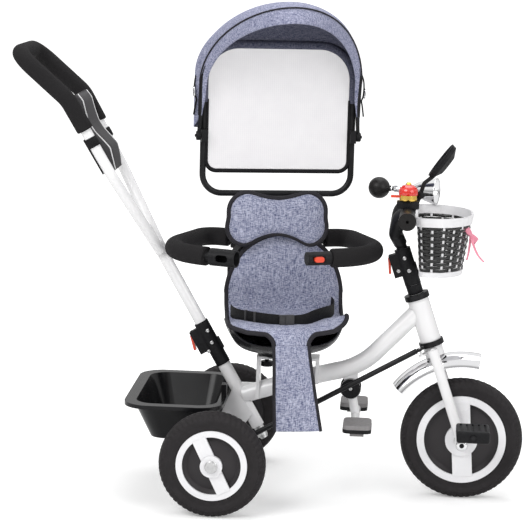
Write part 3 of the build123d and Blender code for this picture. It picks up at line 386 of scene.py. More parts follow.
glass_rings = [mirror_ring(26.8, 35.8, 0.05), mirror_ring(25.6, 34.6, 0.3), mirror_ring(17.0, 23.0, 0.5),
               mirror_ring(8.0, 11.0, 0.6)]
points = np.vstack(glass_rings + [glass_centre + glass_away * 0.65])
faces = grid_faces(len(glass_rings), OVAL_STEPS, True)
last = len(points) - 1
faces += [(last - OVAL_STEPS + step, last - OVAL_STEPS + (step + 1) % OVAL_STEPS, last)
          for step in range(OVAL_STEPS)]
glass = add_piece("mirror_glass", points, faces, silvering, "mirror")
face_outward(glass)
rim_rings = [mirror_ring(26.4, 35.4, 0.6), mirror_ring(27.0, 36.0, 3.0), mirror_ring(28.6, 37.6, 3.4),
             mirror_ring(29.8, 38.8, 2.4), mirror_ring(29.6, 38.6, 0.2), mirror_ring(27.2, 36.2, 0.0)]
mirror_rim = add_piece("mirror_rim", np.vstack(rim_rings), closed_faces(len(rim_rings), OVAL_STEPS),
                       black_plastic, "mirror")
face_outward(mirror_rim)

# Front basket: a white moulded rim, foot and upright staves, woven through with black plastic bands.
# Each band passes in front of one stave and behind the next; the rim carries a pink ribbon bow.
BASKET_BACK, BASKET_LEAN, BASKET_TOP, BASKET_FOOT = 290.0, 10.0, 592.0, 470.0
BASKET_HALF, BASKET_SPREAD, BASKET_FRONT, BASKET_REACH = 84.0, 20.0, 386.0, 18.0
BAND_LOW, BAND_HIGH = BASKET_FOOT + 11, BASKET_TOP - 18
STAVES, BAND_ROWS = 22, 14
band_black = finish("band_plastic", (0.010, 0.010, 0.010), (0.022, 0.022, 0.022), 70.0, 0.24, 0.14, bump=0.12,
                    edge=0)


def spaced(points, count, closed=False):
    """Points spread evenly along a line of points."""
    points = np.asarray(points, float)
    if closed:
        points = np.vstack((points, points[:1]))
    reach = np.concatenate(([0], np.cumsum(np.linalg.norm(np.diff(points, axis=0), axis=1))))
    marks = np.linspace(0, reach[-1], count + 1 if closed else count)
    marks = marks[:count]
    return np.stack([np.interp(marks, reach, points[:, axis]) for axis in range(points.shape[1])], axis=1)


def arc_through(first, middle, last, steps=16):
    """Points of the circular arc through three points in a plane."""
    (ax, ay), (bx, by), (cx, cy) = first, middle, last
    cross = 2 * (ax * (by - cy) + bx * (cy - ay) + cx * (ay - by))
    far_a, far_b, far_c = (x * x + y * y for x, y in (first, middle, last))
    ux = (far_a * (by - cy) + far_b * (cy - ay) + far_c * (ay - by)) / cross
    uy = (far_a * (cx - bx) + far_b * (ax - cx) + far_c * (bx - ax)) / cross
    radius = math.hypot(ax - ux, ay - uy)
    start, via, end = (math.atan2(y - uy, x - ux) for x, y in (first, middle, last))
    turn = (end - start) % (2 * math.pi)
    if (via - start) % (2 * math.pi) > turn:
        turn -= 2 * math.pi
    angles = [start + turn * k / steps for k in range(steps + 1)]
    return [(ux + radius * math.cos(angle), uy + radius * math.sin(angle)) for angle in angles]


def basket_outline(z, inset, count):
    """Even points round the D-shaped basket at a level."""
    rise = (z - BASKET_FOOT) / (BASKET_TOP - BASKET_FOOT)
    half = BASKET_HALF + BASKET_SPREAD * rise - inset
    front = BASKET_FRONT + BASKET_REACH * rise - inset
    back = BASKET_BACK + BASKET_LEAN * (1 - rise) + inset
    side = back + (front - back) * 0.45
    bulge = side + (front - side) * 0.74
    line = [(back, 0), (back, half - 18)] + arc_through((back, half - 18), (back + 6, half - 5),
                                                        (back + 20, half))
    line = line + arc_through((side, half), (bulge, half * 0.68), (front, 0))
    line = line + arc_through((front, 0), (bulge, -half * 0.68), (side, -half))
    line = line + arc_through((back + 20, -half), (back + 6, -half + 5), (back, -half + 18))
    ring = spaced(line, count, True)
    return np.column_stack((ring, np.full(count, z)))


weave_points, weave_faces = [], []
pitch = (BAND_HIGH - BAND_LOW) / BAND_ROWS
around = STAVES * 8
for row in range(BAND_ROWS):
    level = BAND_LOW + (row + 0.5) * pitch
    swing = np.cos(math.pi * STAVES * np.arange(around) / around + math.pi * row)
    first = len(weave_points)
    for lift, thick in ((-0.46, -0.4), (-0.46, 0.3), (0, 0.75), (0.46, 0.3), (0.46, -0.4)):
        wide = basket_outline(level + lift * pitch, 0.9, around)
        tight = basket_outline(level + lift * pitch, 4.1, around)
        share = (0.5 + 0.44 * swing + thick * 0.22)[:, None]
        weave_points.extend(tight + (wide - tight) * share)
    weave_faces += closed_faces(5, around, first)
weave = add_piece("basket_bands", weave_points, weave_faces, band_black, "handlebar")
face_outward(weave)
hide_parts("basket_weave")


def sleeve_faces(rows, columns, first=0):
    """Quads round a sleeve of rings, with a flat face over each end."""
    last = first + (rows - 1) * columns
    ends = [tuple(range(first + columns - 1, first - 1, -1)), tuple(range(last, last + columns))]
    return grid_faces(rows, columns, True, first) + ends


stave_points, stave_faces = [], []
levels = np.linspace(BAND_LOW - 3, BAND_HIGH + 3, 12)
for stave in range(STAVES):
    first = len(stave_points)
    for level in levels:
        ring = basket_outline(level, 2.5, STAVES * 20)
        here, ahead, behind = (ring[(stave * 20 + step) % len(ring)] for step in (0, 3, -3))
        across = (ahead - behind) / np.linalg.norm(ahead - behind)
        out = np.array((across[1], -across[0], 0))
        stave_points.extend((here - across * 2.6 - out * 0.4, here - across * 2.2 + out * 0.5,
                             here + across * 2.2 + out * 0.5, here + across * 2.6 - out * 0.4))
    stave_faces += sleeve_faces(len(levels), 4, first)
staves = add_piece("basket_staves", stave_points, stave_faces, gloss_white, "handlebar")
face_outward(staves)

ribbon = finish("pink_ribbon", (0.80, 0.24, 0.34), (0.86, 0.42, 0.50), 160.0, 0.45, 0.15, bump=0.3, edge=0,
                sheen_weight=0.3)


def directions(line):
    """Unit direction of a line at each of its points."""
    along = np.gradient(line, axis=0)
    return along / np.linalg.norm(along, axis=1)[:, None]


def add_band(name, line, width, thick, across, material, body):
    """Flat ribbon or strap along a line, its width turned to the given directions."""
    line = np.asarray(line, float)
    along = directions(line)
    across = np.broadcast_to(np.asarray(across, float), line.shape)
    across = across - along * np.sum(across * along, axis=1)[:, None]
    across = across / np.linalg.norm(across, axis=1)[:, None]
    up = np.cross(along, across)
    width = np.broadcast_to(np.asarray(width, float), (len(line),))[:, None] / 2
    rows = []
    for side, lift in ((-1, 0.0), (-0.92, 0.5), (0, 0.62), (0.92, 0.5), (1, 0.0), (0.92, -0.5), (0, -0.62),
                       (-0.92, -0.5)):
        rows.append(line + across * width * side + up * thick * lift)
    points = np.stack(rows, axis=1).reshape(-1, 3)
    band = add_piece(name, points, sleeve_faces(len(line), len(rows)), material, body)
    face_outward(band)
    return band


knot = np.array((399.0, -38.0, 553.0))
outward = np.array((0.62, -0.78, 0.0))
for side, label in ((-1, "right"), (1, "left")):
    petal = side * np.array((0.56, 0.45, -0.69))
    turns = np.linspace(0, 2 * math.pi, 22)
    loop = [knot + petal * (11 - 11 * math.cos(t)) + outward * (2.5 + 4.0 * math.sin(t)) for t in turns]
    add_band("bow_loop_" + label, loop, 6.0 + 8.0 * np.sin(turns / 2), 0.7,
                               np.cross(outward, petal), ribbon, "handlebar")
    drop = np.linspace(0, 1, 18)
    sweep_out = -6 if side > 0 else 28
    tail = [knot + outward * 3 + (sweep_out * d ** 1.6, side * 7 * d, -54 * d + 2 * math.sin(7 * d))
            for d in drop]
    add_band("bow_tail_" + label, tail, 6.5 - 2.5 * drop, 0.6, (1, 0.5, 0), ribbon,
                               "handlebar")
knot_shape = [(0.5, -4.5), (2.6, -4.0), (3.8, -1.5), (3.9, 1.5), (2.6, 4.0), (0.5, 4.5)]
add_turning("bow_knot", knot_shape, knot + outward * 3, (0.2, 0.2, 1), ribbon,
                              "handlebar", 16)
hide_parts("ribbon_bow")

# Bell and horn: a red lacquered dome with a brass button on a brass-plated base, and a spun chrome trumpet.
# A black block and strap grip the bar under the bell; the trumpet's mouth is rolled over.
BAR_X, BELL_Y, HORN_PLACE, HORN_TURN = 273, -119, (273, 118, 619), math.radians(15)
bell_red = finish("bell_lacquer", (0.72, 0.022, 0.012), (0.58, 0.012, 0.008), 60.0, 0.14, 0.08, bump=0.05,
                  coat_weight=0.8, coat_roughness=0.04)
brass = finish("brass_plate", (0.88, 0.58, 0.13), (0.80, 0.50, 0.10), 60.0, 0.22, 0.1, bump=0.05,
               metallic=1.0)
paint(bell_red, "bell_dome")
paint(brass, "bell_base")


def rounded_oblong(half_long, half_wide, radius, steps):
    """Outline of an oblong with rounded corners about its middle."""
    outline = []
    for corner, (long_sign, wide_sign) in enumerate(((1, 1), (-1, 1), (-1, -1), (1, -1))):
        for step in range(steps):
            angle = (corner + step / (steps - 1)) * math.pi / 2
            outline.append((long_sign * half_long + radius * math.cos(angle),
                            wide_sign * half_wide + radius * math.sin(angle)))
    return outline


clamp_points = [(BAR_X + x, BELL_Y + along, 620.4 + z)
                for along, radius in ((-5.6, 1.0), (-4.6, 2.2), (4.6, 2.2), (5.6, 1.0))
                for x, z in rounded_oblong(19.8, 6.0, radius, 6)]
bell_clamp = add_piece("bell_clamp", clamp_points, sleeve_faces(4, 24), black_plastic, "handlebar")
face_outward(bell_clamp)
strap_shape = [(11.2, -5.5), (14.2, -5.5), (14.7, -4.8), (14.7, 4.8), (14.2, 5.5), (11.2, 5.5)]
bell_strap = add_turning("bell_strap", strap_shape, (BAR_X, BELL_Y, 600), (0, 1, 0), black_plastic,
                         "handlebar")
dome_shape = [(18.4, 0.1), (18.9, 0.8), (18.9, 7.6), (18.3, 10.2), (16.7, 13.6), (14.2, 16.4), (10.6, 18.8),
              (6.0, 20.4), (0.6, 21.0)]
bell_cap = add_turning("bell_cap", dome_shape, (BAR_X, BELL_Y, 640), (0, 0, 1), bell_red, "handlebar", 64)
button_shape = [(5.2, -0.6), (5.4, 1.0), (4.9, 2.8), (3.4, 4.4), (0.5, 5.2)]
bell_button = add_turning("bell_button", button_shape, (BAR_X, BELL_Y, 660.2), (0, 0, 1), brass,
                          "handlebar", 32)
cone_shape = [(5.4, -34), (7.4, -29), (7.8, -12), (8.6, 8), (12.0, 12.5), (15.2, 17), (18.8, 27), (22.4, 40),
              (26.0, 53), (28.0, 60.2), (28.5, 61.0), (27.8, 61.4), (25.4, 54), (18.0, 30), (6.0, 26)]
horn_cone = add_turning("horn_cone", cone_shape, HORN_PLACE, (math.cos(HORN_TURN), -math.sin(HORN_TURN), 0),
                        chrome, "handlebar", 64)

# Push handle: a plated shaft in the stub, a black clamp sleeve with its lever, and a white forked tube.
# The loop that joins the fork's ends carries a thick foam sleeve in a knitted net.
paint(black_plastic, "handle_sleeve")
HANDLE_LEAN, LOOP_LEAN = math.radians(30), math.radians(49)
HANDLE_BEND, LOOP_RUN, HANDLE_HALF = 775.0, 134.57, 96.0
PRONG_START, PRONG_HALF, FOAM_START, HANDLE_FOAM_RADIUS = 600.0, 80.0, 705.0, 17.0
HANDLE_FOOT_X, HANDLE_FOOT_Z = -19, 131.5


def on_handle(distance, side=0.0, rear=0.0):
    """Point by the push handle: up from the stub's foot, to the left, and behind its axis."""
    return np.array((HANDLE_FOOT_X - distance * math.sin(HANDLE_LEAN) - rear * math.cos(HANDLE_LEAN), side,
                     HANDLE_FOOT_Z + distance * math.cos(HANDLE_LEAN) - rear * math.sin(HANDLE_LEAN)))


def tube_spread(distance):
    """Half the distance between the two handle tubes, which part towards the loop."""
    share = (distance - PRONG_START) / (HANDLE_BEND - PRONG_START)
    return PRONG_HALF + (HANDLE_HALF - PRONG_HALF) * share


for name, up, rear in (("handle_screw_top", 226, -6), ("handle_screw_low", 200, -2),
                       ("handle_screw_lug", 186, 13)):
    for side, label in ((-1, "right"), (1, "left")):
        deep = math.sqrt(15.0 ** 2 - rear ** 2) if abs(rear) < 12 else 9.7
        add_screw(name + "_" + label, on_handle(up, side * (deep - 0.6), rear), (0, side, 0), 4.0,
                  "handle_turner")

knit, given = add_group("net_over_foam", Colour=(0.02, 0.02, 0.02, 1), Tint=(0.04, 0.04, 0.04, 1), Pitch=1.0,
                        Roughness=0.8)
lay = knit.nodes.new("ShaderNodeUVMap")
lay.uv_map = "lay"
split = knit.nodes.new("ShaderNodeSeparateXYZ")
knit.links.new(lay.outputs["UV"], split.inputs["Vector"])
turns = add_math(knit, "MULTIPLY", split.outputs["X"], given["Pitch"])
runs = add_math(knit, "MULTIPLY", split.outputs["Y"], given["Pitch"])
waves = [add_math(knit, "SINE", add_math(knit, kind, turns, runs)) for kind in ("ADD", "SUBTRACT")]
net = add_math(knit, "MULTIPLY", waves[0], waves[1])
fuzz = add_noise(knit, 900.0, 2.0)
rise = add_math(knit, "ADD", add_math(knit, "MULTIPLY", net, 0.5), add_math(knit, "MULTIPLY", fuzz, 0.5))
set_results(knit, add_mix(knit, rise, given["Colour"], given["Tint"]),
            add_math(knit, "ADD", given["Roughness"], add_math(knit, "MULTIPLY", fuzz, 0.1)), rise)
foam_net = add_material("foam_net", knit, {"Colour": (0.012, 0.0115, 0.012, 1),
                                           "Tint": (0.034, 0.032, 0.034, 1), "Pitch": 1.9},
                        0.5, 0.0008, 0, {"Specular IOR Level": 0.12})


def rounded_route(corners, bends, step=4.0):
    """Even points along straight runs joined by round bends."""
    bend_steps = 24
    corners = [np.array(corner, float) for corner in corners]
    line = [corners[0]]
    for before, corner, after, bend in zip(corners, corners[1:], corners[2:], bends):
        back_way, on_way = before - corner, after - corner
        back_way = back_way / np.linalg.norm(back_way)
        on_way = on_way / np.linalg.norm(on_way)
        half = math.acos(float(back_way @ on_way)) / 2
        middle = (back_way + on_way) / np.linalg.norm(back_way + on_way)
        centre = corner + middle * bend / math.sin(half)
        start, end = corner + back_way * bend / math.tan(half), corner + on_way * bend / math.tan(half)
        turn = math.pi - 2 * half
        for k in range(bend_steps + 1):
            share = k / bend_steps
            early, late = math.sin((1 - share) * turn), math.sin(share * turn)
            line.append(centre + ((start - centre) * early + (end - centre) * late) / math.sin(turn))
    line.append(corners[-1])
    total = np.sum(np.linalg.norm(np.diff(line, axis=0), axis=1))
    return spaced(line, max(8, int(total / step)))


def add_tube(name, line, radius, sides, material, body, round_end=0.0):
    """Round sleeve along a line, with softly closed ends and its own along-and-around lay."""
    line = np.asarray(line, float)
    along = directions(line)
    radius = np.broadcast_to(np.asarray(radius, float), (len(line),))
    side = np.cross(along[0], (0.31, 0.52, 0.79))
    rings = []
    for spot, way, reach in zip(line, along, radius):
        side = side - way * float(side @ way)
        side = side / np.linalg.norm(side)
        rings.append((spot, way, side, reach))
    if round_end:
        ends = []
        for sign, (spot, way, side, reach) in ((-1, rings[0]), (1, rings[-1])):
            cap = [(spot + way * sign * round_end * math.sin(a), way, side,
                    reach - round_end * (1 - math.cos(a)))
                   for a in (math.pi / 8, math.pi / 4, 3 * math.pi / 8, math.pi / 2)]
            ends.append(cap)
        rings = ends[0][::-1] + rings + ends[1]
    points, marks, far = [], [], 0.0
    angles = [k * 2 * math.pi / sides for k in range(sides)]
    for number, (spot, way, side, reach) in enumerate(rings):
        far += float(np.linalg.norm(spot - rings[max(number - 1, 0)][0]))
        marks.append(far)
        up = np.cross(way, side)
        points += [spot + (side * math.cos(angle) + up * math.sin(angle)) * reach for angle in angles]
    tube = add_piece(name, points, sleeve_faces(len(rings), sides), material, body)
    layer = tube.data.uv_layers.new(name="lay")
    girth = 2 * math.pi * float(np.mean(radius)) / sides
    for polygon in tube.data.polygons:
        closing = any(vertex % sides == sides - 1 for vertex in polygon.vertices)
        for loop, vertex in zip(polygon.loop_indices, polygon.vertices):
            column = sides if closing and vertex % sides == 0 else vertex % sides
            layer.data[loop].uv = (column * girth, marks[vertex // sides])
    return tube


loop_end = np.array((-math.sin(LOOP_LEAN), 0, math.cos(LOOP_LEAN))) * LOOP_RUN
near_half = [on_handle(FOAM_START, -tube_spread(FOAM_START)), on_handle(HANDLE_BEND, -HANDLE_HALF),
             on_handle(HANDLE_BEND, -HANDLE_HALF) + loop_end]
far_half = [corner * (1, -1, 1) for corner in reversed(near_half)]
foam_line = rounded_route(near_half + far_half, (70, 42, 42, 70))
handle_foam = add_tube("handle_foam_sleeve", foam_line[1:-1], HANDLE_FOAM_RADIUS, 40, foam_net, "push_handle",
                       3.0)
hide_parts("handle_foam")

# Pouch: a flat grey nylon bag slung between the two handle tubes, edged with white piping.
# Black webbing loops hold it to the tubes.
POUCH_TOP, POUCH_FOOT, POUCH_ROWS, POUCH_ROUND = 778.0, 606.0, 26, 40
STRAP_LEVEL, STRAP_RADIUS = 678.0, 12.6
pouch_nylon = finish("grey_nylon", (0.042, 0.040, 0.043), (0.062, 0.060, 0.064), 140.0, 0.62, 0.15, bump=0.4,
                     edge=0, specular_ior_level=0.2)
white_cord = finish("white_piping", (0.78, 0.78, 0.79), (0.70, 0.70, 0.71), 400.0, 0.5, 0.1, bump=0.3, edge=0)
webbing = finish("black_webbing", (0.006, 0.006, 0.007), (0.022, 0.021, 0.023), 420.0, 0.66, 0.12, bump=0.6,
                 edge=0, specular_ior_level=0.15)


def pouch_point(drop, turn):
    """Point of the bag's skin: drop from its mouth to its foot, turn round its flat section."""
    up = POUCH_TOP + (POUCH_FOOT - POUCH_TOP) * drop
    half = 63 - 5 * drop - 9 * drop ** 6
    belly = float(np.interp(drop, (0, 0.1, 0.24, 0.38, 0.5, 0.62, 0.74, 0.88, 1),
                            (13, 17, 11, 6, 8.5, 15, 20, 11, 1.5)))
    corner = abs(math.cos(turn)) ** 0.34 * math.copysign(1, math.cos(turn))
    face = abs(math.sin(turn)) ** 0.8 * math.copysign(1, math.sin(turn))
    wave = 1.6 * noise.noise(Vector((corner * 2.2, drop * 4.0, face)))
    lean = -4 + 9 * drop * (1 - drop)
    return on_handle(up - 9 * (1 - drop) ** 4 * (1 - corner ** 2), corner * half,
                     lean - face * (belly + wave))


rows = [[pouch_point(row / (POUCH_ROWS - 1), 2 * math.pi * step / POUCH_ROUND) for step in range(POUCH_ROUND)]
        for row in range(POUCH_ROWS)]
bag = add_piece("pouch_bag", np.array(rows).reshape(-1, 3), sleeve_faces(POUCH_ROWS, POUCH_ROUND),
                pouch_nylon, "push_handle")
face_outward(bag)
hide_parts("pouch")
for side, label in ((-1, "right"), (1, "left")):
    for face, edge in ((1, "front"), (-1, "rear")):
        turn = math.acos(0.62) * face if side > 0 else math.pi - math.acos(0.62) * face
        edge_line = [pouch_point(drop, turn) for drop in np.linspace(0.0, 1.0, 40)]
        piping = add_tube("pouch_piping_" + edge + "_" + label, edge_line, 1.5, 10, white_cord, "push_handle")
    tube_side = side * tube_spread(STRAP_LEVEL)
    turns = np.linspace(0, 2 * math.pi, 40)
    loop = [on_handle(STRAP_LEVEL, tube_side + STRAP_RADIUS * math.cos(t), STRAP_RADIUS * math.sin(t))
            for t in turns]
    way = on_handle(1) - on_handle(0)
    strap = add_band("pouch_strap_" + label, loop, 20.0, 1.8, way, webbing, "push_handle")
    strip_line = [on_handle(d, side * tube_spread(d), 12.4) for d in np.linspace(612, 690, 20)]
    strip = add_band("pouch_strip_" + label, strip_line, 13.0, 2.0, (0, 1, 0), webbing, "push_handle")

# Steering rod and footrest: a black steel rod from the handle's foot to the fork, and a folding rest.
# The rest turns on black discs under the main tube; each grey moulded tread sits in a black band.
FOOTREST_X, FOOTREST_Z = 170, 221
tread_grey = finish("grey_tread", (0.23, 0.22, 0.222), (0.17, 0.165, 0.166), 150.0, 0.55, 0.1, bump=0.4)
paint(black_coat, "steering_rod")
paint(white_coat, "footrest_post")
paint(tread_grey, "footrest_platforms")
for side, label in ((-1, "right"), (1, "left")):
    cheek = [(5.0, 16.4), (18.5, 16.2), (20.6, 15.6), (21.6, 14.4), (21.6, 12.6)]
    pivot_cheek = add_turning("footrest_cheek_" + label, cheek, (FOOTREST_X, 0, FOOTREST_Z), (0, side, 0),
                              black_plastic, "footrest")
    add_screw("footrest_pin_" + label, (FOOTREST_X, side * 15.8, FOOTREST_Z), (0, side, 0), 3.8, "footrest")
    tread_x, tread_y = FOOTREST_X + 12 - side * 6, side * 95
    band_points = [(tread_x + x, tread_y + y, level)
                   for radius, level in ((10.5, 156.6), (12.3, 156.8), (12.4, 164.2), (10.5, 164.8))
                   for x, y in rounded_oblong(16.5, 25.0, radius, 7)]
    tread_band = add_piece("tread_band_" + label, band_points, closed_faces(4, 28), black_plastic, "footrest")
    face_outward(tread_band)

# Seat base: a ribbed swivel, a hand knob that locks it and the moulded bucket, all in black plastic.
# The bucket's gloss lip shows on both sides of the leg flap.
bucket_gloss = finish("bucket_plastic", (0.009, 0.009, 0.010), (0.017, 0.017, 0.019), 60.0, 0.27, 0.12,
                      bump=0.1, edge=0.003)
paint(black_plastic, "swivel_base", "seat_knob")
paint(bucket_gloss, "seat_shell")

# Seat cover: one quilted pad over the back and the bucket, in grey-blue melange cloth with dark sewn piping.
# Its front edge lifts towards the corners and narrows into the leg flap.
SEAT_X, SEAT_TURN = 24.0, math.radians(12)


def on_seat(points):
    """Seat points, x across and y to the back, turned and moved to where the seat stands."""
    points = np.asarray(points, float)
    x, y = points[..., 0], points[..., 1]
    return np.stack((SEAT_X + x * math.cos(SEAT_TURN) - y * math.sin(SEAT_TURN),
                     x * math.sin(SEAT_TURN) + y * math.cos(SEAT_TURN), points[..., 2]), axis=-1)


melange, given = add_group("melange_cloth", Dark=(0.1, 0.1, 0.2, 1), Light=(0.6, 0.6, 0.7, 1), Contrast=3.0,
                           Balance=0.5, Roughness=0.85)
threads = [add_noise(melange, 1.0, 1.5, stretch)
           for stretch in ((85, 620, 760), (760, 620, 85), (620, 75, 760))]
blend_one = add_math(melange, "ADD", add_math(melange, "MULTIPLY", threads[0], 0.42),
                     add_math(melange, "MULTIPLY", threads[1], 0.36))
blend_all = add_math(melange, "ADD", blend_one, add_math(melange, "MULTIPLY", threads[2], 0.22))
weft = add_math(melange, "MULTIPLY", add_math(melange, "SUBTRACT", blend_all, 0.5), given["Contrast"])
level = add_math(melange, "ADD", weft, given["Balance"])
fibre = add_noise(melange, 1500.0, 2.0)
set_results(melange, add_mix(melange, level, given["Dark"], given["Light"]),
            add_math(melange, "ADD", given["Roughness"], add_math(melange, "MULTIPLY", weft, 0.1)),
            add_math(melange, "ADD", blend_all, add_math(melange, "MULTIPLY", fibre, 0.4)))


def cloth(name, dark, light, contrast=4.0, balance=0.5):
    """Melange cloth between a dark and a light yarn."""
    values = {"Dark": dark + (1,), "Light": light + (1,), "Contrast": contrast, "Balance": balance}
    return add_material(name, melange, values, 0.55, 0.0007, 0,
                        {"Sheen Weight": 0.06, "Sheen Roughness": 0.6, "Specular IOR Level": 0.15})


seat_cloth = cloth("grey_blue_melange", (0.090, 0.105, 0.200), (0.52, 0.535, 0.66), 5.0)
dark_cord = finish("dark_piping", (0.022, 0.021, 0.025), (0.040, 0.038, 0.044), 500.0, 0.6, 0.1, bump=0.5,
                   edge=0, specular_ior_level=0.15)


def smooth_line(points, count):
    """Even points on a smooth curve through the given ones."""
    points = np.asarray(points, float)
    padded = np.vstack((2 * points[0] - points[1], points, 2 * points[-1] - points[-2]))
    line = []
    for a, b, c, d in zip(padded, padded[1:], padded[2:], padded[3:]):
        for share in np.linspace(0, 1, 12, endpoint=False):
            line.append(0.5 * (2 * b + (c - a) * share + (2 * a - 5 * b + 4 * c - d) * share ** 2
                               + (3 * b - a - 3 * c + d) * share ** 3))
    line.append(points[-1])
    return spaced(line, count)


COVER_COLUMNS, COVER_HALF, FRONT_HALF, NECK_TOP_HALF, NECK_HALF = 45, 120.0, 88.0, 50.0, 34.5
FRONT_EDGE, NECK_EDGE = 43.0, 47.0
cover_side = smooth_line([(74, 523), (76, 470), (77, 425), (76, 398), (69, 371), (50, 357), (0, 354),
                          (-60, 354), (-96, 355), (-118, 355), (-128, 350), (-132.5, 341), (-134, 331)], 420)
cover_length = np.concatenate(((0.0,), np.cumsum(np.linalg.norm(np.diff(cover_side, axis=0), axis=1))))
cover_bend = float(cover_length[np.argmin(np.abs(cover_side[:, 0] - 60) + np.abs(cover_side[:, 1] - 361))])
cover_front = float(cover_length[np.argmax(cover_side[:, 0] < -80)])
dome = arc_through((0, 524), (46, 514.9), (88, 486), 24) + arc_through((88, 486), (113, 440), (121, 400), 24)
dome_levels = [z for x, z in dome][::-1]
dome_halves = [x for x, z in dome][::-1]


def cover_half_width(z, ahead):
    """Half width of the cover: domed back, broad seat, a nearly straight front edge and a filleted neck."""
    if z > 400:
        return max(16.0, float(np.interp(z, dome_levels, dome_halves)))
    if ahead < 0:
        return COVER_HALF
    if ahead < FRONT_EDGE:
        return COVER_HALF - (COVER_HALF - FRONT_HALF) * (ahead / FRONT_EDGE) ** 2.4
    if ahead < NECK_EDGE:
        return FRONT_HALF - (FRONT_HALF - NECK_TOP_HALF) * (ahead - FRONT_EDGE) / (NECK_EDGE - FRONT_EDGE)
    fillet = max(0.0, 1 - (ahead - NECK_EDGE) / (cover_length[-1] - cover_front - NECK_EDGE))
    return NECK_HALF + (NECK_TOP_HALF - NECK_HALF) * fillet ** 2.2


cover_rows = np.concatenate((np.linspace(0, cover_front, 80),
                             np.linspace(cover_front, cover_front + FRONT_EDGE - 0.5, 14)[1:],
                             np.linspace(cover_front + FRONT_EDGE, cover_front + NECK_EDGE, 9),
                             np.linspace(cover_front + NECK_EDGE, cover_length[-1], 12)[1:]))
cover_path = np.stack([np.interp(cover_rows, cover_length, cover_side[:, axis]) for axis in (0, 1)], axis=1)
cover_ways = directions(cover_side)
cover_slope = np.stack([np.interp(cover_rows, cover_length, cover_ways[:, axis]) for axis in (0, 1)], axis=1)
cover_halves = [cover_half_width(z, far - cover_front) for (y, z), far in zip(cover_path, cover_rows)]
cover_outline = [(side * half, far) for side in (-1, 1) for half, far in zip(cover_halves, cover_rows)]
cover_outline += [(x, 0.0) for x in np.linspace(-16, 16, 9)]
cover_outline += [(side * x, cover_front + (FRONT_EDGE + NECK_EDGE) / 2)
                  for side in (-1, 1) for x in np.linspace(NECK_TOP_HALF + 2, FRONT_HALF - 2, 12)]
cover_outline = np.array(cover_outline)


def plump(outline, x, far, thin, full, depth):
    """Thickness of a quilted pad that swells from its sewn edge inwards."""
    edge = float(np.min(np.hypot(outline[:, 0] - x, outline[:, 1] - far)))
    return thin + full * (1 - math.exp(-(edge / depth) ** 1.3))


cover_top, cover_base, cover_rims = [], [], []
for (y, z), (run_y, run_z), half, far in zip(cover_path, cover_slope, cover_halves, cover_rows):
    shift = 13.5 * min(1.0, max(0.0, 1 - (far - cover_bend) / 150))
    crease = 4.0 * math.exp(-((far - cover_bend) / 11) ** 2)
    corner = math.exp(-((y + 78) / 42) ** 2) if far > cover_bend else 0.0
    tops, bases = [], []
    for column in range(COVER_COLUMNS):
        across = -1 + 2 * column / (COVER_COLUMNS - 1)
        x = half * math.copysign(1 - (1 - abs(across)) ** 1.35, across)
        ripple = 1.6 * noise.noise(Vector((x * 0.028, far * 0.022, 3.1)))
        thick = plump(cover_outline, x, far, 3.0, 9.0 + ripple - crease, 18.0)
        outer = max(0.0, abs(x) - 40) / 80
        lift = (24 if x > 0 else 7) * outer ** 1.8 * corner
        tops.append((x + shift, y + run_z * thick, z - run_y * thick + lift))
        bases.append((x + shift, y - run_z * 3.0, z + run_y * 3.0 + lift))
    cover_top.append(tops)
    cover_base.append(bases)
    cover_rims.append([np.array(tops[end]) * 0.8 + np.array(bases[end]) * 0.2 for end in (0, -1)])


def add_pad(name, top, base, material, body):
    """Closed pad from its upper and lower skins."""
    rows, columns = len(top), len(top[0])
    points = on_seat(np.concatenate((np.array(top).reshape(-1, 3), np.array(base).reshape(-1, 3))))
    lower = rows * columns
    faces = grid_faces(rows, columns) + [face[::-1] for face in grid_faces(rows, columns, False, lower)]
    edge = list(range(columns)) + [row * columns + columns - 1 for row in range(1, rows)]
    edge += [(rows - 1) * columns + column for column in range(columns - 2, -1, -1)]
    edge += [row * columns for row in range(rows - 2, 0, -1)]
    for here, after in zip(edge, edge[1:] + edge[:1]):
        faces.append((here, after, lower + after, lower + here))
    pad = add_piece(name, points, faces, material, body)
    face_outward(pad)
    return pad


seat_cover = add_pad("seat_cover", cover_top, cover_base, seat_cloth, "seat")
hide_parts("seat_pad")
left_edge = [rim[0] for rim in cover_rims]
right_edge = [rim[1] for rim in cover_rims]
edge_line = on_seat(spaced(left_edge[::-1] + right_edge, 330))
cover_piping = add_tube("seat_cover_piping", edge_line, 4.8, 12, dark_cord, "seat", 1.0)
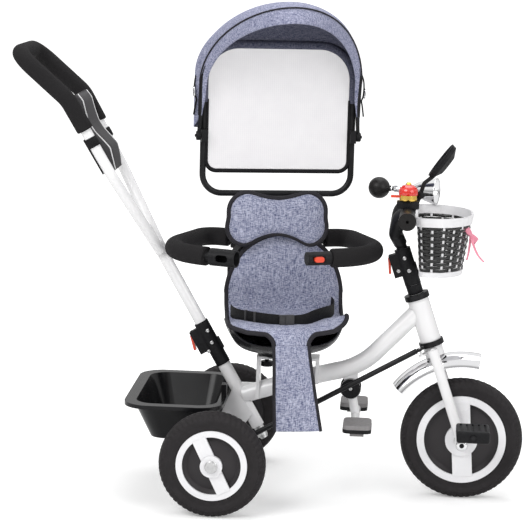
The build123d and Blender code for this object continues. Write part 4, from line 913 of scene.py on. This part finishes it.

# Leg flap: the cover's long front tongue, thinly quilted, piped down both sides and cut plain at the foot.
# A stitched line crosses it; it hangs free in front of the bucket.
FLAP_ROWS, FLAP_COLUMNS = 70, 23
FLAP_TOP, FLAP_FOOT, FLAP_SEAM = 331.0, 157.0, 243.0
flap_side = smooth_line([(-134, 331), (-136, 318), (-136.5, 300), (-136, 268), (-134, 230), (-134.5, 196),
                         (-135.5, 157)], FLAP_ROWS)
flap_slope = directions(flap_side)
flap_falls = (FLAP_TOP - flap_side[:, 1]) / (FLAP_TOP - FLAP_FOOT)
flap_edges = np.stack((-NECK_HALF + 5.5 * flap_falls, NECK_HALF + 30 * flap_falls ** 1.05), axis=1)
flap_outline = np.array([(edge[side], z) for edge, (y, z) in zip(flap_edges, flap_side) for side in (0, 1)])
flap_top, flap_base, flap_rims = [], [], []
for (y, z), (run_y, run_z), (left, right), fall in zip(flap_side, flap_slope, flap_edges, flap_falls):
    stitch = 2.4 * math.exp(-((z - FLAP_SEAM) / 2.6) ** 2)
    tops, bases = [], []
    for column in range(FLAP_COLUMNS):
        across = 2 * column / (FLAP_COLUMNS - 1) - 1
        x = left + (right - left) * (0.5 + 0.5 * math.copysign(1 - (1 - abs(across)) ** 1.3, across))
        wave = 1.5 * noise.noise(Vector((x * 0.03, z * 0.02, 7.7))) * min(1.0, fall * 6)
        thick = plump(flap_outline, x, z, 2.8, 4.5 + 4.5 * max(0.0, 1 - fall * 5) - stitch + wave, 12.0)
        tops.append((x, y + run_z * thick + wave, z - run_y * thick))
        bases.append((x, y - run_z * 2.6 + wave, z + run_y * 2.6))
    flap_top.append(tops)
    flap_base.append(bases)
    flap_rims.append([np.array(tops[end]) * 0.8 + np.array(bases[end]) * 0.2 for end in (0, -1)])
leg_flap = add_pad("leg_flap_tongue", flap_top, flap_base, seat_cloth, "seat")
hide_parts("leg_flap")
flap_pieces = [leg_flap]
for side, label in ((0, "right"), (1, "left")):
    edge_line = on_seat(spaced([rim[side] for rim in flap_rims], 80))
    flap_pieces.append(add_tube("leg_flap_piping_" + label, edge_line, 3.6, 12, dark_cord, "seat", 1.0))
for piece in flap_pieces:
    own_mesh(piece)

# Headrest: a waisted pillow of the same cloth with thick piping, tied to the frame above the back.
# Both faces are crowned and its ends are fuller than its middle.
PILLOW_X, PILLOW_MID_Y, PILLOW_MID_Z = -7.5, 53.0, 557.0
PILLOW_FRONT, PILLOW_REAR, PILLOW_RINGS, PILLOW_ROUND = 20.0, 10.0, 14, 96
pillow_half = arc_through((0, 600), (32, 605), (60, 614)) + arc_through((60, 614), (91, 601), (99, 560))
pillow_half += arc_through((99, 560), (91, 512), (65, 503)) + arc_through((65, 503), (32, 521), (0, 527))
pillow_arcs = [pillow_half, [(-x, z) for x, z in reversed(pillow_half)]]
pillow_edge = spaced([point for arc in pillow_arcs for point in arc[:-1]], PILLOW_ROUND, True)
for turn in range(3):
    pillow_edge = (np.roll(pillow_edge, 1, axis=0) + 2 * pillow_edge + np.roll(pillow_edge, -1, axis=0)) / 4
points = []
for face, bulge in ((-1, PILLOW_FRONT), (1, PILLOW_REAR)):
    for ring in range(PILLOW_RINGS):
        share = (1 - ring / PILLOW_RINGS) ** 0.8
        for x, z in pillow_edge:
            spot_x, spot_z = x * share, PILLOW_MID_Z + (z - PILLOW_MID_Z) * share
            crown = (1 - share ** 3.0) ** 0.62
            fuller = 0.82 + 0.25 * (spot_x / 100) ** 2
            crease = 1.4 * noise.noise(Vector((spot_x * 0.035, spot_z * 0.05, face))) * crown
            points.append((PILLOW_X + spot_x, PILLOW_MID_Y + face * (bulge * crown * fuller + crease),
                           spot_z))
    points.append((PILLOW_X, PILLOW_MID_Y + face * bulge * 0.82, PILLOW_MID_Z))
faces, half_count = [], PILLOW_RINGS * PILLOW_ROUND + 1
for face in (0, 1):
    faces += grid_faces(PILLOW_RINGS, PILLOW_ROUND, True, face * half_count)
    rim = face * half_count + (PILLOW_RINGS - 1) * PILLOW_ROUND
    faces += [(rim + step, rim + (step + 1) % PILLOW_ROUND, (face + 1) * half_count - 1)
              for step in range(PILLOW_ROUND)]
pillow = add_piece("headrest_pillow", on_seat(points), faces, seat_cloth, "seat")
face_outward(pillow, weld=0.2 * MM)
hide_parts("headrest")
pillow_line = on_seat([(PILLOW_X + x, PILLOW_MID_Y - 2.5, z)
                       for x, z in np.vstack((pillow_edge, pillow_edge[:2]))])
pillow_piping = add_tube("headrest_piping", pillow_line, 4.7, 12, dark_cord, "seat")

# Lap belt: black webbing from behind the cover round to a side-release buckle in the middle.
# Sliders take up the spare length on one side.
BELT_DROP = 2.5
belt_line = smooth_line([(-103, 20, 375), (-101, -8, 375), (-92, -40, 376), (-74, -69, 378), (-40, -90, 377),
                         (0, -99, 375.5), (30, -95, 377), (56, -79, 383), (82, -50, 384), (102, -14, 381),
                         (113, 30, 381), (112, 58, 384)], 150)
belt = add_band("lap_belt_webbing", on_seat(belt_line - np.array((0, 0, BELT_DROP))), 26.0, 1.8, (0, 0, 1),
                webbing, "seat")
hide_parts("lap_belt")


def add_block(name, size, place, turn, material, body, soft=2.5):
    """Moulded block with rounded edges, in seat points."""
    work = bmesh.new()
    bmesh.ops.create_cube(work, size=1.0)
    for vertex in work.verts:
        vertex.co = Vector((vertex.co.x * size[0], vertex.co.y * size[1], vertex.co.z * size[2]))
    bmesh.ops.bevel(work, geom=work.edges[:], offset=soft, segments=3, profile=0.6, affect="EDGES")
    work.verts.ensure_lookup_table()
    spin = np.array(((math.cos(turn), -math.sin(turn), 0), (math.sin(turn), math.cos(turn), 0), (0, 0, 1)))
    points = [spin @ np.array(vertex.co) + place for vertex in work.verts]
    faces = [tuple(vertex.index for vertex in face.verts) for face in work.faces]
    work.free()
    return add_piece(name, on_seat(points), faces, material, body)


buckle_grey = finish("buckle_plastic", (0.040, 0.039, 0.041), (0.056, 0.055, 0.058), 200.0, 0.42, 0.12,
                     bump=0.2, specular_ior_level=0.3)
for name, size, x, y, z, turn in (
        ("belt_buckle_body", (18, 9, 29), 1, -101, 375, 0.06),
        ("belt_buckle_tongue", (13, 7, 21), -13, -100, 375, -0.05),
        ("belt_buckle_arm_top", (13, 6.5, 4.5), -14, -100, 387, 0.0),
        ("belt_buckle_arm_low", (13, 6.5, 4.5), -14, -100, 363, 0.0),
        ("belt_slider_left", (4.5, 6.5, 27), -82, -59, 378, -0.85),
        ("belt_slider_right", (4.5, 6.5, 27), -66, -77, 378, -0.65)):
    fitting = add_block(name, size, (x, y, z - BELT_DROP), turn, buckle_grey, "seat", 1.6)

# Safety bar: two steel arms in foam sleeves, hinged behind the back, that meet in a plug and socket.
# The catch is an orange-red button on the left-hand tip.
ARM_PIVOT_X, ARM_PIVOT_Y, ARM_Z = 86.0, 101.5, 510.0
ARM_HALF_WIDTH, ARM_FRONT_Y, ARM_FOAM_RADIUS = 154.0, -138.0, 19.0
paint(black_plastic, "arm_left", "arm_right")
for side, body, tip, swing in ((1, "right_arm", 26, 11), (-1, "left_arm", 54, 31)):
    route = rounded_route([(ARM_PIVOT_X + 14, ARM_PIVOT_Y, ARM_Z), (ARM_HALF_WIDTH, ARM_PIVOT_Y, ARM_Z),
                           (ARM_HALF_WIDTH, ARM_FRONT_Y, ARM_Z), (tip, ARM_FRONT_Y, ARM_Z)], (34, 112))
    route = (route - (ARM_PIVOT_X, ARM_PIVOT_Y, 0)) * (side, 1, 1)
    turn = math.radians(side * swing)
    spun = np.stack((route[:, 0] * math.cos(turn) - route[:, 1] * math.sin(turn) + side * ARM_PIVOT_X,
                     route[:, 0] * math.sin(turn) + route[:, 1] * math.cos(turn) + ARM_PIVOT_Y, route[:, 2]),
                    axis=1)
    sleeve = add_tube(body + "_foam_sleeve", on_seat(spun)[1:-1], ARM_FOAM_RADIUS, 44, foam_net, body, 3.5)
    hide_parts("arm_right_foam" if side > 0 else "arm_left_foam")

# Canopy frame: black enamelled tube, a closed loop on two uprights with a folding front hoop on hinge blocks.
# The roof cloth, the back panel and the side straps hang on it.
paint(black_coat, "canopy_frame", "canopy_front_hoop")

# Canopy back panel: pale mesh stretched in the loop, bound in black along its foot.
# The mesh shows fine upright ribs.
PANEL_Y, PANEL_FOOT, PANEL_HALF, PANEL_FOOT_BEND = 124.0, 648.0, 151.5, 22.0
PANEL_TOP, PANEL_SHOULDER, PANEL_TOP_BEND = 903.5, 838.0, 66.0
panel_mesh, given = add_group("ribbed_mesh", Colour=(0.75, 0.74, 0.76, 1), Tint=(0.6, 0.6, 0.62, 1),
                              Pitch=1500.0)
place = panel_mesh.nodes.new("ShaderNodeTexCoord")
split = panel_mesh.nodes.new("ShaderNodeSeparateXYZ")
panel_mesh.links.new(place.outputs["Object"], split.inputs["Vector"])
rib, knot_row = (
    add_math(panel_mesh, "SINE", add_math(panel_mesh, "MULTIPLY", split.outputs[way], given["Pitch"]))
    for way in ("X", "Z"))
soft = add_noise(panel_mesh, 30.0, 3.0)
raised = add_math(panel_mesh, "ADD", add_math(panel_mesh, "MULTIPLY", rib, 0.35),
                  add_math(panel_mesh, "MULTIPLY", knot_row, 0.12))
tone = add_math(panel_mesh, "ADD", add_math(panel_mesh, "MULTIPLY", raised, 0.5), soft)
set_results(panel_mesh, add_mix(panel_mesh, tone, given["Colour"], given["Tint"]),
            add_math(panel_mesh, "ADD", 0.7, add_math(panel_mesh, "MULTIPLY", soft, 0.15)), raised)
pale_mesh = add_material("pale_mesh", panel_mesh, {"Colour": (0.80, 0.775, 0.80, 1),
                                                   "Tint": (0.70, 0.68, 0.71, 1)}, 0.35, 0.0005, 0,
                         {"Sheen Weight": 0.1, "Alpha": 0.4})


def panel_half(z):
    """Half width of the panel at a level, following the loop's round corners."""
    for past, bend in ((z - PANEL_SHOULDER, PANEL_TOP_BEND),
                       (PANEL_FOOT + PANEL_FOOT_BEND - z, PANEL_FOOT_BEND)):
        if past > 0:
            return PANEL_HALF - bend + bend * math.sqrt(max(0.0, 1 - (past / bend) ** 2))
    return PANEL_HALF


PANEL_ROWS, PANEL_COLUMNS = 46, 41
panel_rises = 0.5 - 0.5 * np.cos(np.linspace(0, math.pi, PANEL_ROWS))
panel_levels = PANEL_FOOT + (PANEL_TOP - PANEL_FOOT) * panel_rises
front, rear = [], []
for z in panel_levels:
    half = max(60.0, panel_half(z))
    for column in range(PANEL_COLUMNS):
        across = -1 + 2 * column / (PANEL_COLUMNS - 1)
        billow = 3.0 * (1 - across ** 2) * math.sin(math.pi * (z - PANEL_FOOT) / 256)
        front.append((half * across, PANEL_Y - 0.6 + billow, z))
        rear.append((half * across, PANEL_Y + 0.6 + billow, z))
back_panel = add_pad("canopy_panel_mesh", np.array(front).reshape(PANEL_ROWS, PANEL_COLUMNS, 3),
                     np.array(rear).reshape(PANEL_ROWS, PANEL_COLUMNS, 3), pale_mesh, "seat")
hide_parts("canopy_back_panel")
binding = rounded_route([(-150, PANEL_Y, 796), (-150, PANEL_Y, PANEL_FOOT), (150, PANEL_Y, PANEL_FOOT),
                         (150, PANEL_Y, 796)], (PANEL_FOOT_BEND, PANEL_FOOT_BEND))
panel_binding = add_tube("canopy_panel_binding", on_seat(binding), 4.4, 14, webbing, "seat", 1.0)

# Canopy roof: one curved melange cloth from the frame loop over the front hoop; its inner skin is a darker
# copy of the same cloth, painted shade for the shadowed inside.
# Its front edge turns in as a visor band sewn along a seam.
# The hoop is black enamelled tube that turns on two moulded hinge caps.
HINGE_Y, HINGE_Z = 112, 722
ROOF_ROWS, ROOF_COLUMNS, BRIM_ROWS = 44, 97, 7
roof_cloth = cloth("canopy_melange", (0.100, 0.112, 0.205), (0.48, 0.49, 0.63), 4.2)
# Darker copy of the roof cloth: painted shade on the inside of the roof and brim and on the loop sleeve.
painted_shade_lining = cloth("canopy_lining_painted_shade", (0.030, 0.033, 0.065), (0.16, 0.165, 0.22))
ROOF_HEM = 738.0
roof_stations = np.array(((0.0, 126, 126, 166, 838, 918.5, 79), (0.3, 120, 72, 174, 852, 978, 102),
                          (0.65, 116, -12, 168, 860, 1007, 112), (1.0, 112, -75, 168, 838, 996, 104)), float)
station_fits = [np.polyfit(roof_stations[:, 0], roof_stations[:, column], 3) for column in range(1, 7)]


def roof_arch(share, count):
    """Points of the arch at a share of the depth, from the right hem over the top to the left hem."""
    foot_y, top_y, half, shoulder, top, corner = (float(np.polyval(fit, share)) for fit in station_fits)
    side = half - corner
    spare = top - shoulder - corner
    drop = (side ** 2 - spare ** 2) / (2 * spare)
    crown_radius = top - shoulder + drop
    reach = crown_radius / math.hypot(side, drop)
    meet = (side * reach, shoulder - drop + drop * reach)
    swing = math.atan2(meet[1] - shoulder, meet[0] - side) / 2
    middle = (side + corner * math.cos(swing), shoulder + corner * math.sin(swing))
    hem = ROOF_HEM + 26 * share ** 2
    line = [(-half, hem)] + arc_through((-half, shoulder), (-middle[0], middle[1]), (-meet[0], meet[1]), 20)
    line += arc_through((-meet[0], meet[1]), (0, top), meet, 30)
    line += arc_through(meet, middle, (half, shoulder), 20) + [(half, hem)]
    line = spaced(line, count)
    rise = (np.maximum(line[:, 1] - ROOF_HEM, 0) / (top - ROOF_HEM)) ** 2.8
    return np.stack((line[:, 0], foot_y + (top_y - foot_y) * rise, line[:, 1]), axis=1)


roof_grid = []
for row in range(ROOF_ROWS):
    share = row / (ROOF_ROWS - 1)
    free = math.sin(math.pi * share)
    line = roof_arch(share, ROOF_COLUMNS)
    for column, point in enumerate(line):
        along = column / (ROOF_COLUMNS - 1)
        fold = 2.6 * noise.noise(Vector((along * 9, share * 2.5, 1.3))) * free
        slack = 4.0 * free ** 2 * math.sin(math.pi * along) ** 2
        point += (-4.0 * free, 0, 0.8 * (fold - slack))
    roof_grid.append(line)
roof_grid = np.array(roof_grid)
seam_line = roof_grid[-1]
way = directions(seam_line[:, (0, 2)])
inward = np.stack((way[:, 1], -way[:, 0]), axis=1)
brim_grid = []
for row in range(BRIM_ROWS):
    share = row / (BRIM_ROWS - 1)
    line = []
    for column, (x, y, z) in enumerate(seam_line):
        along = column / (ROOF_COLUMNS - 1)
        height = math.sin(math.pi * along)
        wide = (11 + 20 * height ** 1.6) * min(1.0, 9 * min(along, 1 - along) + 0.55)
        reach = wide * share
        ahead = (5 + 9 * height) * math.sin(share * 1.45)
        line.append((x + inward[column][0] * reach, y - ahead, z + inward[column][1] * reach))
    brim_grid.append(line)


def add_cloth_sheet(name, grid, thick, outer, inner, body):
    """Cloth of even thickness from a grid of seat points, its inner skin in the inner material, which for the
    roof is a darker copy of the cloth as painted shade.
    """
    grid = np.asarray(grid, float)[:, ::-1]
    rows, columns = grid.shape[:2]
    piece = add_piece(name, on_seat(grid.reshape(-1, 3)), grid_faces(rows, columns), outer, body)
    piece.data.materials.append(inner)
    skin = piece.modifiers.new("cloth_thickness", "SOLIDIFY")
    skin.thickness = thick * MM
    skin.offset = -1.0
    skin.material_offset = 1
    skin.material_offset_rim = 0
    with bpy.context.temp_override(object=piece, active_object=piece, selected_objects=[piece]):
        bpy.ops.object.modifier_apply(modifier=skin.name)
    return piece


roof = add_cloth_sheet("canopy_roof_cloth", roof_grid, 2.0, roof_cloth, painted_shade_lining, None)
brim = add_cloth_sheet("canopy_brim", brim_grid, 2.2, roof_cloth, painted_shade_lining, "canopy")
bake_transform(roof)
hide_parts("canopy_roof")
seam_cord = add_tube("canopy_seam", on_seat(seam_line + np.array((0, -1.2, 0))), 1.6, 8, dark_cord, "canopy")
hoop_foot = [(-167, HINGE_Y, HINGE_Z), (-165, HINGE_Y, HINGE_Z + 28)]
lift = np.clip((seam_line[:, 2] - 780) / 180, 0, 1)
hoop_over = seam_line * (0.972, 1, 1) + np.stack((0 * lift, 9 * lift - 1, -3 - 6 * lift), axis=1)
hoop_line = spaced(np.vstack((hoop_foot, hoop_over[hoop_over[:, 2] > 770],
                              [(-x, y, z) for x, y, z in reversed(hoop_foot)])), 150)
hoop = add_tube("canopy_hoop_tube", on_seat(hoop_line), 4.0, 14, black_coat, "canopy", 1.0)
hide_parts("canopy_front_hoop")
for side, label in ((-1, "right"), (1, "left")):
    cap_shape = [(3.0, 0), (8.0, 0.2), (9.4, 1.2), (9.8, 3.0), (9.8, 8.0), (8.6, 9.6), (3.4, 10.2),
                 (3.0, 9.0)]
    across = on_seat((side, 0, 0)) - on_seat((0, 0, 0))
    hinge_cap = add_turning("canopy_hinge_" + label, cap_shape, on_seat((side * 162.5, HINGE_Y, HINGE_Z)),
                            across, black_plastic, "canopy")

# The loop sleeve is in the darker copy of the cloth, painted shade for the inside of the canopy.
loop_line = rounded_route([(-156, 125, 792), (-156, 125, 910), (156, 125, 910), (156, 125, 792)], (72, 72))
loop_sleeve = add_tube("canopy_loop_sleeve", on_seat(spaced(loop_line, 120)), 8.6, 20, painted_shade_lining, "seat",
                       1.5)

# Canopy side straps: a short length of black webbing sewn down each side of the cloth.
# A plated wire ring hangs in the fold of each strap.
STRAP_Y = 116
for side, label in ((-1, "right"), (1, "left")):
    strap_line = smooth_line([(side * out, STRAP_Y, z) for out, z in (
        (171, 852), (175.5, 840), (177, 823), (175.5, 806), (172.5, 797), (174.5, 786), (177.5, 765))], 40)
    strap = add_band("canopy_strap_" + label, on_seat(strap_line), 14.0, 2.6, (0, 1, 0), webbing, "seat")
    ring_line = rounded_route([(side * out, STRAP_Y + aft, z) for out, aft, z in (
        (178.6, 0, 804), (177.6, -9, 804), (178.6, -9, 822), (178.6, 9, 822), (177.6, 9, 804),
        (178.6, 0.5, 804))], (2, 2, 2, 2))
    strap_ring = add_tube("canopy_ring_" + label, on_seat(spaced(ring_line, 60)), 1.7, 10, chrome, "seat")

# Studio: a pale floor, soft lights on three sides and a white surround.
# Floor and surround read as white to the camera and in reflections, and the floor keeps the soft shadow.
FLOOR_HALF = 40.0


def add_range(tree, value, sources, results, ease="SMOOTHSTEP"):
    """Maps a value from one range to another."""
    step = tree.nodes.new("ShaderNodeMapRange")
    step.interpolation_type = ease
    for label, number in zip(("From Min", "From Max", "To Min", "To Max"), sources + results):
        step.inputs[label].default_value = number
    tree.links.new(value, step.inputs["Value"])
    return step.outputs["Result"]


floor_mesh = bpy.data.meshes.new("studio_floor")
floor_corners = [(x * FLOOR_HALF, y * FLOOR_HALF, 0) for x, y in ((-1, -1), (1, -1), (1, 1), (-1, 1))]
floor_mesh.from_pydata(floor_corners, [], [(0, 1, 2, 3)])
floor = bpy.data.objects.new("studio_floor", floor_mesh)
bpy.context.collection.objects.link(floor)
floor_paint = bpy.data.materials.new("studio_white")
floor_paint.use_nodes = True
floor_tree = floor_paint.node_tree
floor_surface = floor_tree.nodes["Principled BSDF"]
for socket, value in (("Base Color", (0.94, 0.94, 0.94, 1)), ("Roughness", 0.9), ("Specular IOR Level", 0.0),
                      ("Emission Color", (1, 1, 1, 1))):
    floor_surface.inputs[socket].default_value = value
sight = floor_tree.nodes.new("ShaderNodeLightPath").outputs
distance = floor_tree.nodes.new("ShaderNodeVectorMath")
distance.operation = "LENGTH"
floor_tree.links.new(floor_tree.nodes.new("ShaderNodeTexCoord").outputs["Object"], distance.inputs[0])
glow = add_range(floor_tree, distance.outputs["Value"], (0.4, 1.6), (0.25, 0.65))
floor_tree.links.new(add_math(floor_tree, "MULTIPLY", sight["Is Camera Ray"], glow),
                     floor_surface.inputs["Emission Strength"])
floor_mesh.materials.append(floor_paint)

world = bpy.data.worlds.new("white_surround")
bpy.context.scene.world = world
world.use_nodes = True
tree = world.node_tree
tree.nodes.clear()
sight = tree.nodes.new("ShaderNodeLightPath").outputs
seen = add_math(tree, "MAXIMUM", sight["Is Camera Ray"], sight["Is Glossy Ray"])
through = add_math(tree, "MAXIMUM", seen, sight["Is Transmission Ray"])
strength = add_range(tree, through, (0.0, 1.0), (0.6, 1.0), "LINEAR")
height = tree.nodes.new("ShaderNodeSeparateXYZ")
tree.links.new(tree.nodes.new("ShaderNodeTexCoord").outputs["Generated"], height.inputs["Vector"])
dusk = add_range(tree, height.outputs["Z"], (0.0, 0.45), (0.35, 1.0))
clear = add_math(tree, "MAXIMUM", dusk, sight["Is Camera Ray"])
backdrop = tree.nodes.new("ShaderNodeBackground")
backdrop.inputs["Color"].default_value = (1, 1, 1, 1)
tree.links.new(add_math(tree, "MULTIPLY", strength, clear), backdrop.inputs["Strength"])
tree.links.new(backdrop.outputs["Background"], tree.nodes.new("ShaderNodeOutputWorld").inputs["Surface"])

for name, place, size, power in (("key_light", (-1.6, -2.4, 2.6), 1.8, 58.0),
                                 ("fill_light", (2.4, -2.2, 1.6), 2.0, 31.0),
                                 ("top_light", (0.2, 0.6, 3.2), 2.2, 37.0)):
    lamp = bpy.data.lights.new(name, "AREA")
    lamp.energy = power
    lamp.size = size
    holder = bpy.data.objects.new(name, lamp)
    holder.location = place
    holder.rotation_euler = (Vector((0, 0, 0.5)) - Vector(place)).to_track_quat("-Z", "Y").to_euler()
    bpy.context.collection.objects.link(holder)

# Camera: a long lens a little above the seat, nearly square to the right-hand side.
# It stands about four metres off and leans by a degree and a half.
CAMERA_AZIMUTH, CAMERA_ELEVATION, CAMERA_ROLL = math.radians(4.12), math.radians(9.71), math.radians(1.48)
CAMERA_DISTANCE, CAMERA_TARGET = 4.084, Vector((-0.02065, 0, 0.47917))
FOCAL_PIXELS, IMAGE_WIDTH, SENSOR_WIDTH = 2000.0, 523.0, 36.0
camera_data = bpy.data.cameras.new("photo_camera")
camera_data.sensor_width = SENSOR_WIDTH
camera_data.lens = SENSOR_WIDTH * FOCAL_PIXELS / IMAGE_WIDTH
camera = bpy.data.objects.new("photo_camera", camera_data)
bpy.context.collection.objects.link(camera)
back = Vector((math.sin(CAMERA_AZIMUTH) * math.cos(CAMERA_ELEVATION),
               -math.cos(CAMERA_AZIMUTH) * math.cos(CAMERA_ELEVATION), math.sin(CAMERA_ELEVATION)))
level = (-back).cross(Vector((0, 0, 1))).normalized()
upright = level.cross(-back)
right = level * math.cos(CAMERA_ROLL) + upright * math.sin(CAMERA_ROLL)
up = upright * math.cos(CAMERA_ROLL) - level * math.sin(CAMERA_ROLL)
stand = CAMERA_TARGET + back * CAMERA_DISTANCE
camera.matrix_world = Matrix([[right[i], up[i], back[i], stand[i]] for i in range(3)] + [[0, 0, 0, 1]])
bpy.context.scene.camera = camera
bpy.context.scene.view_settings.view_transform = "Standard"
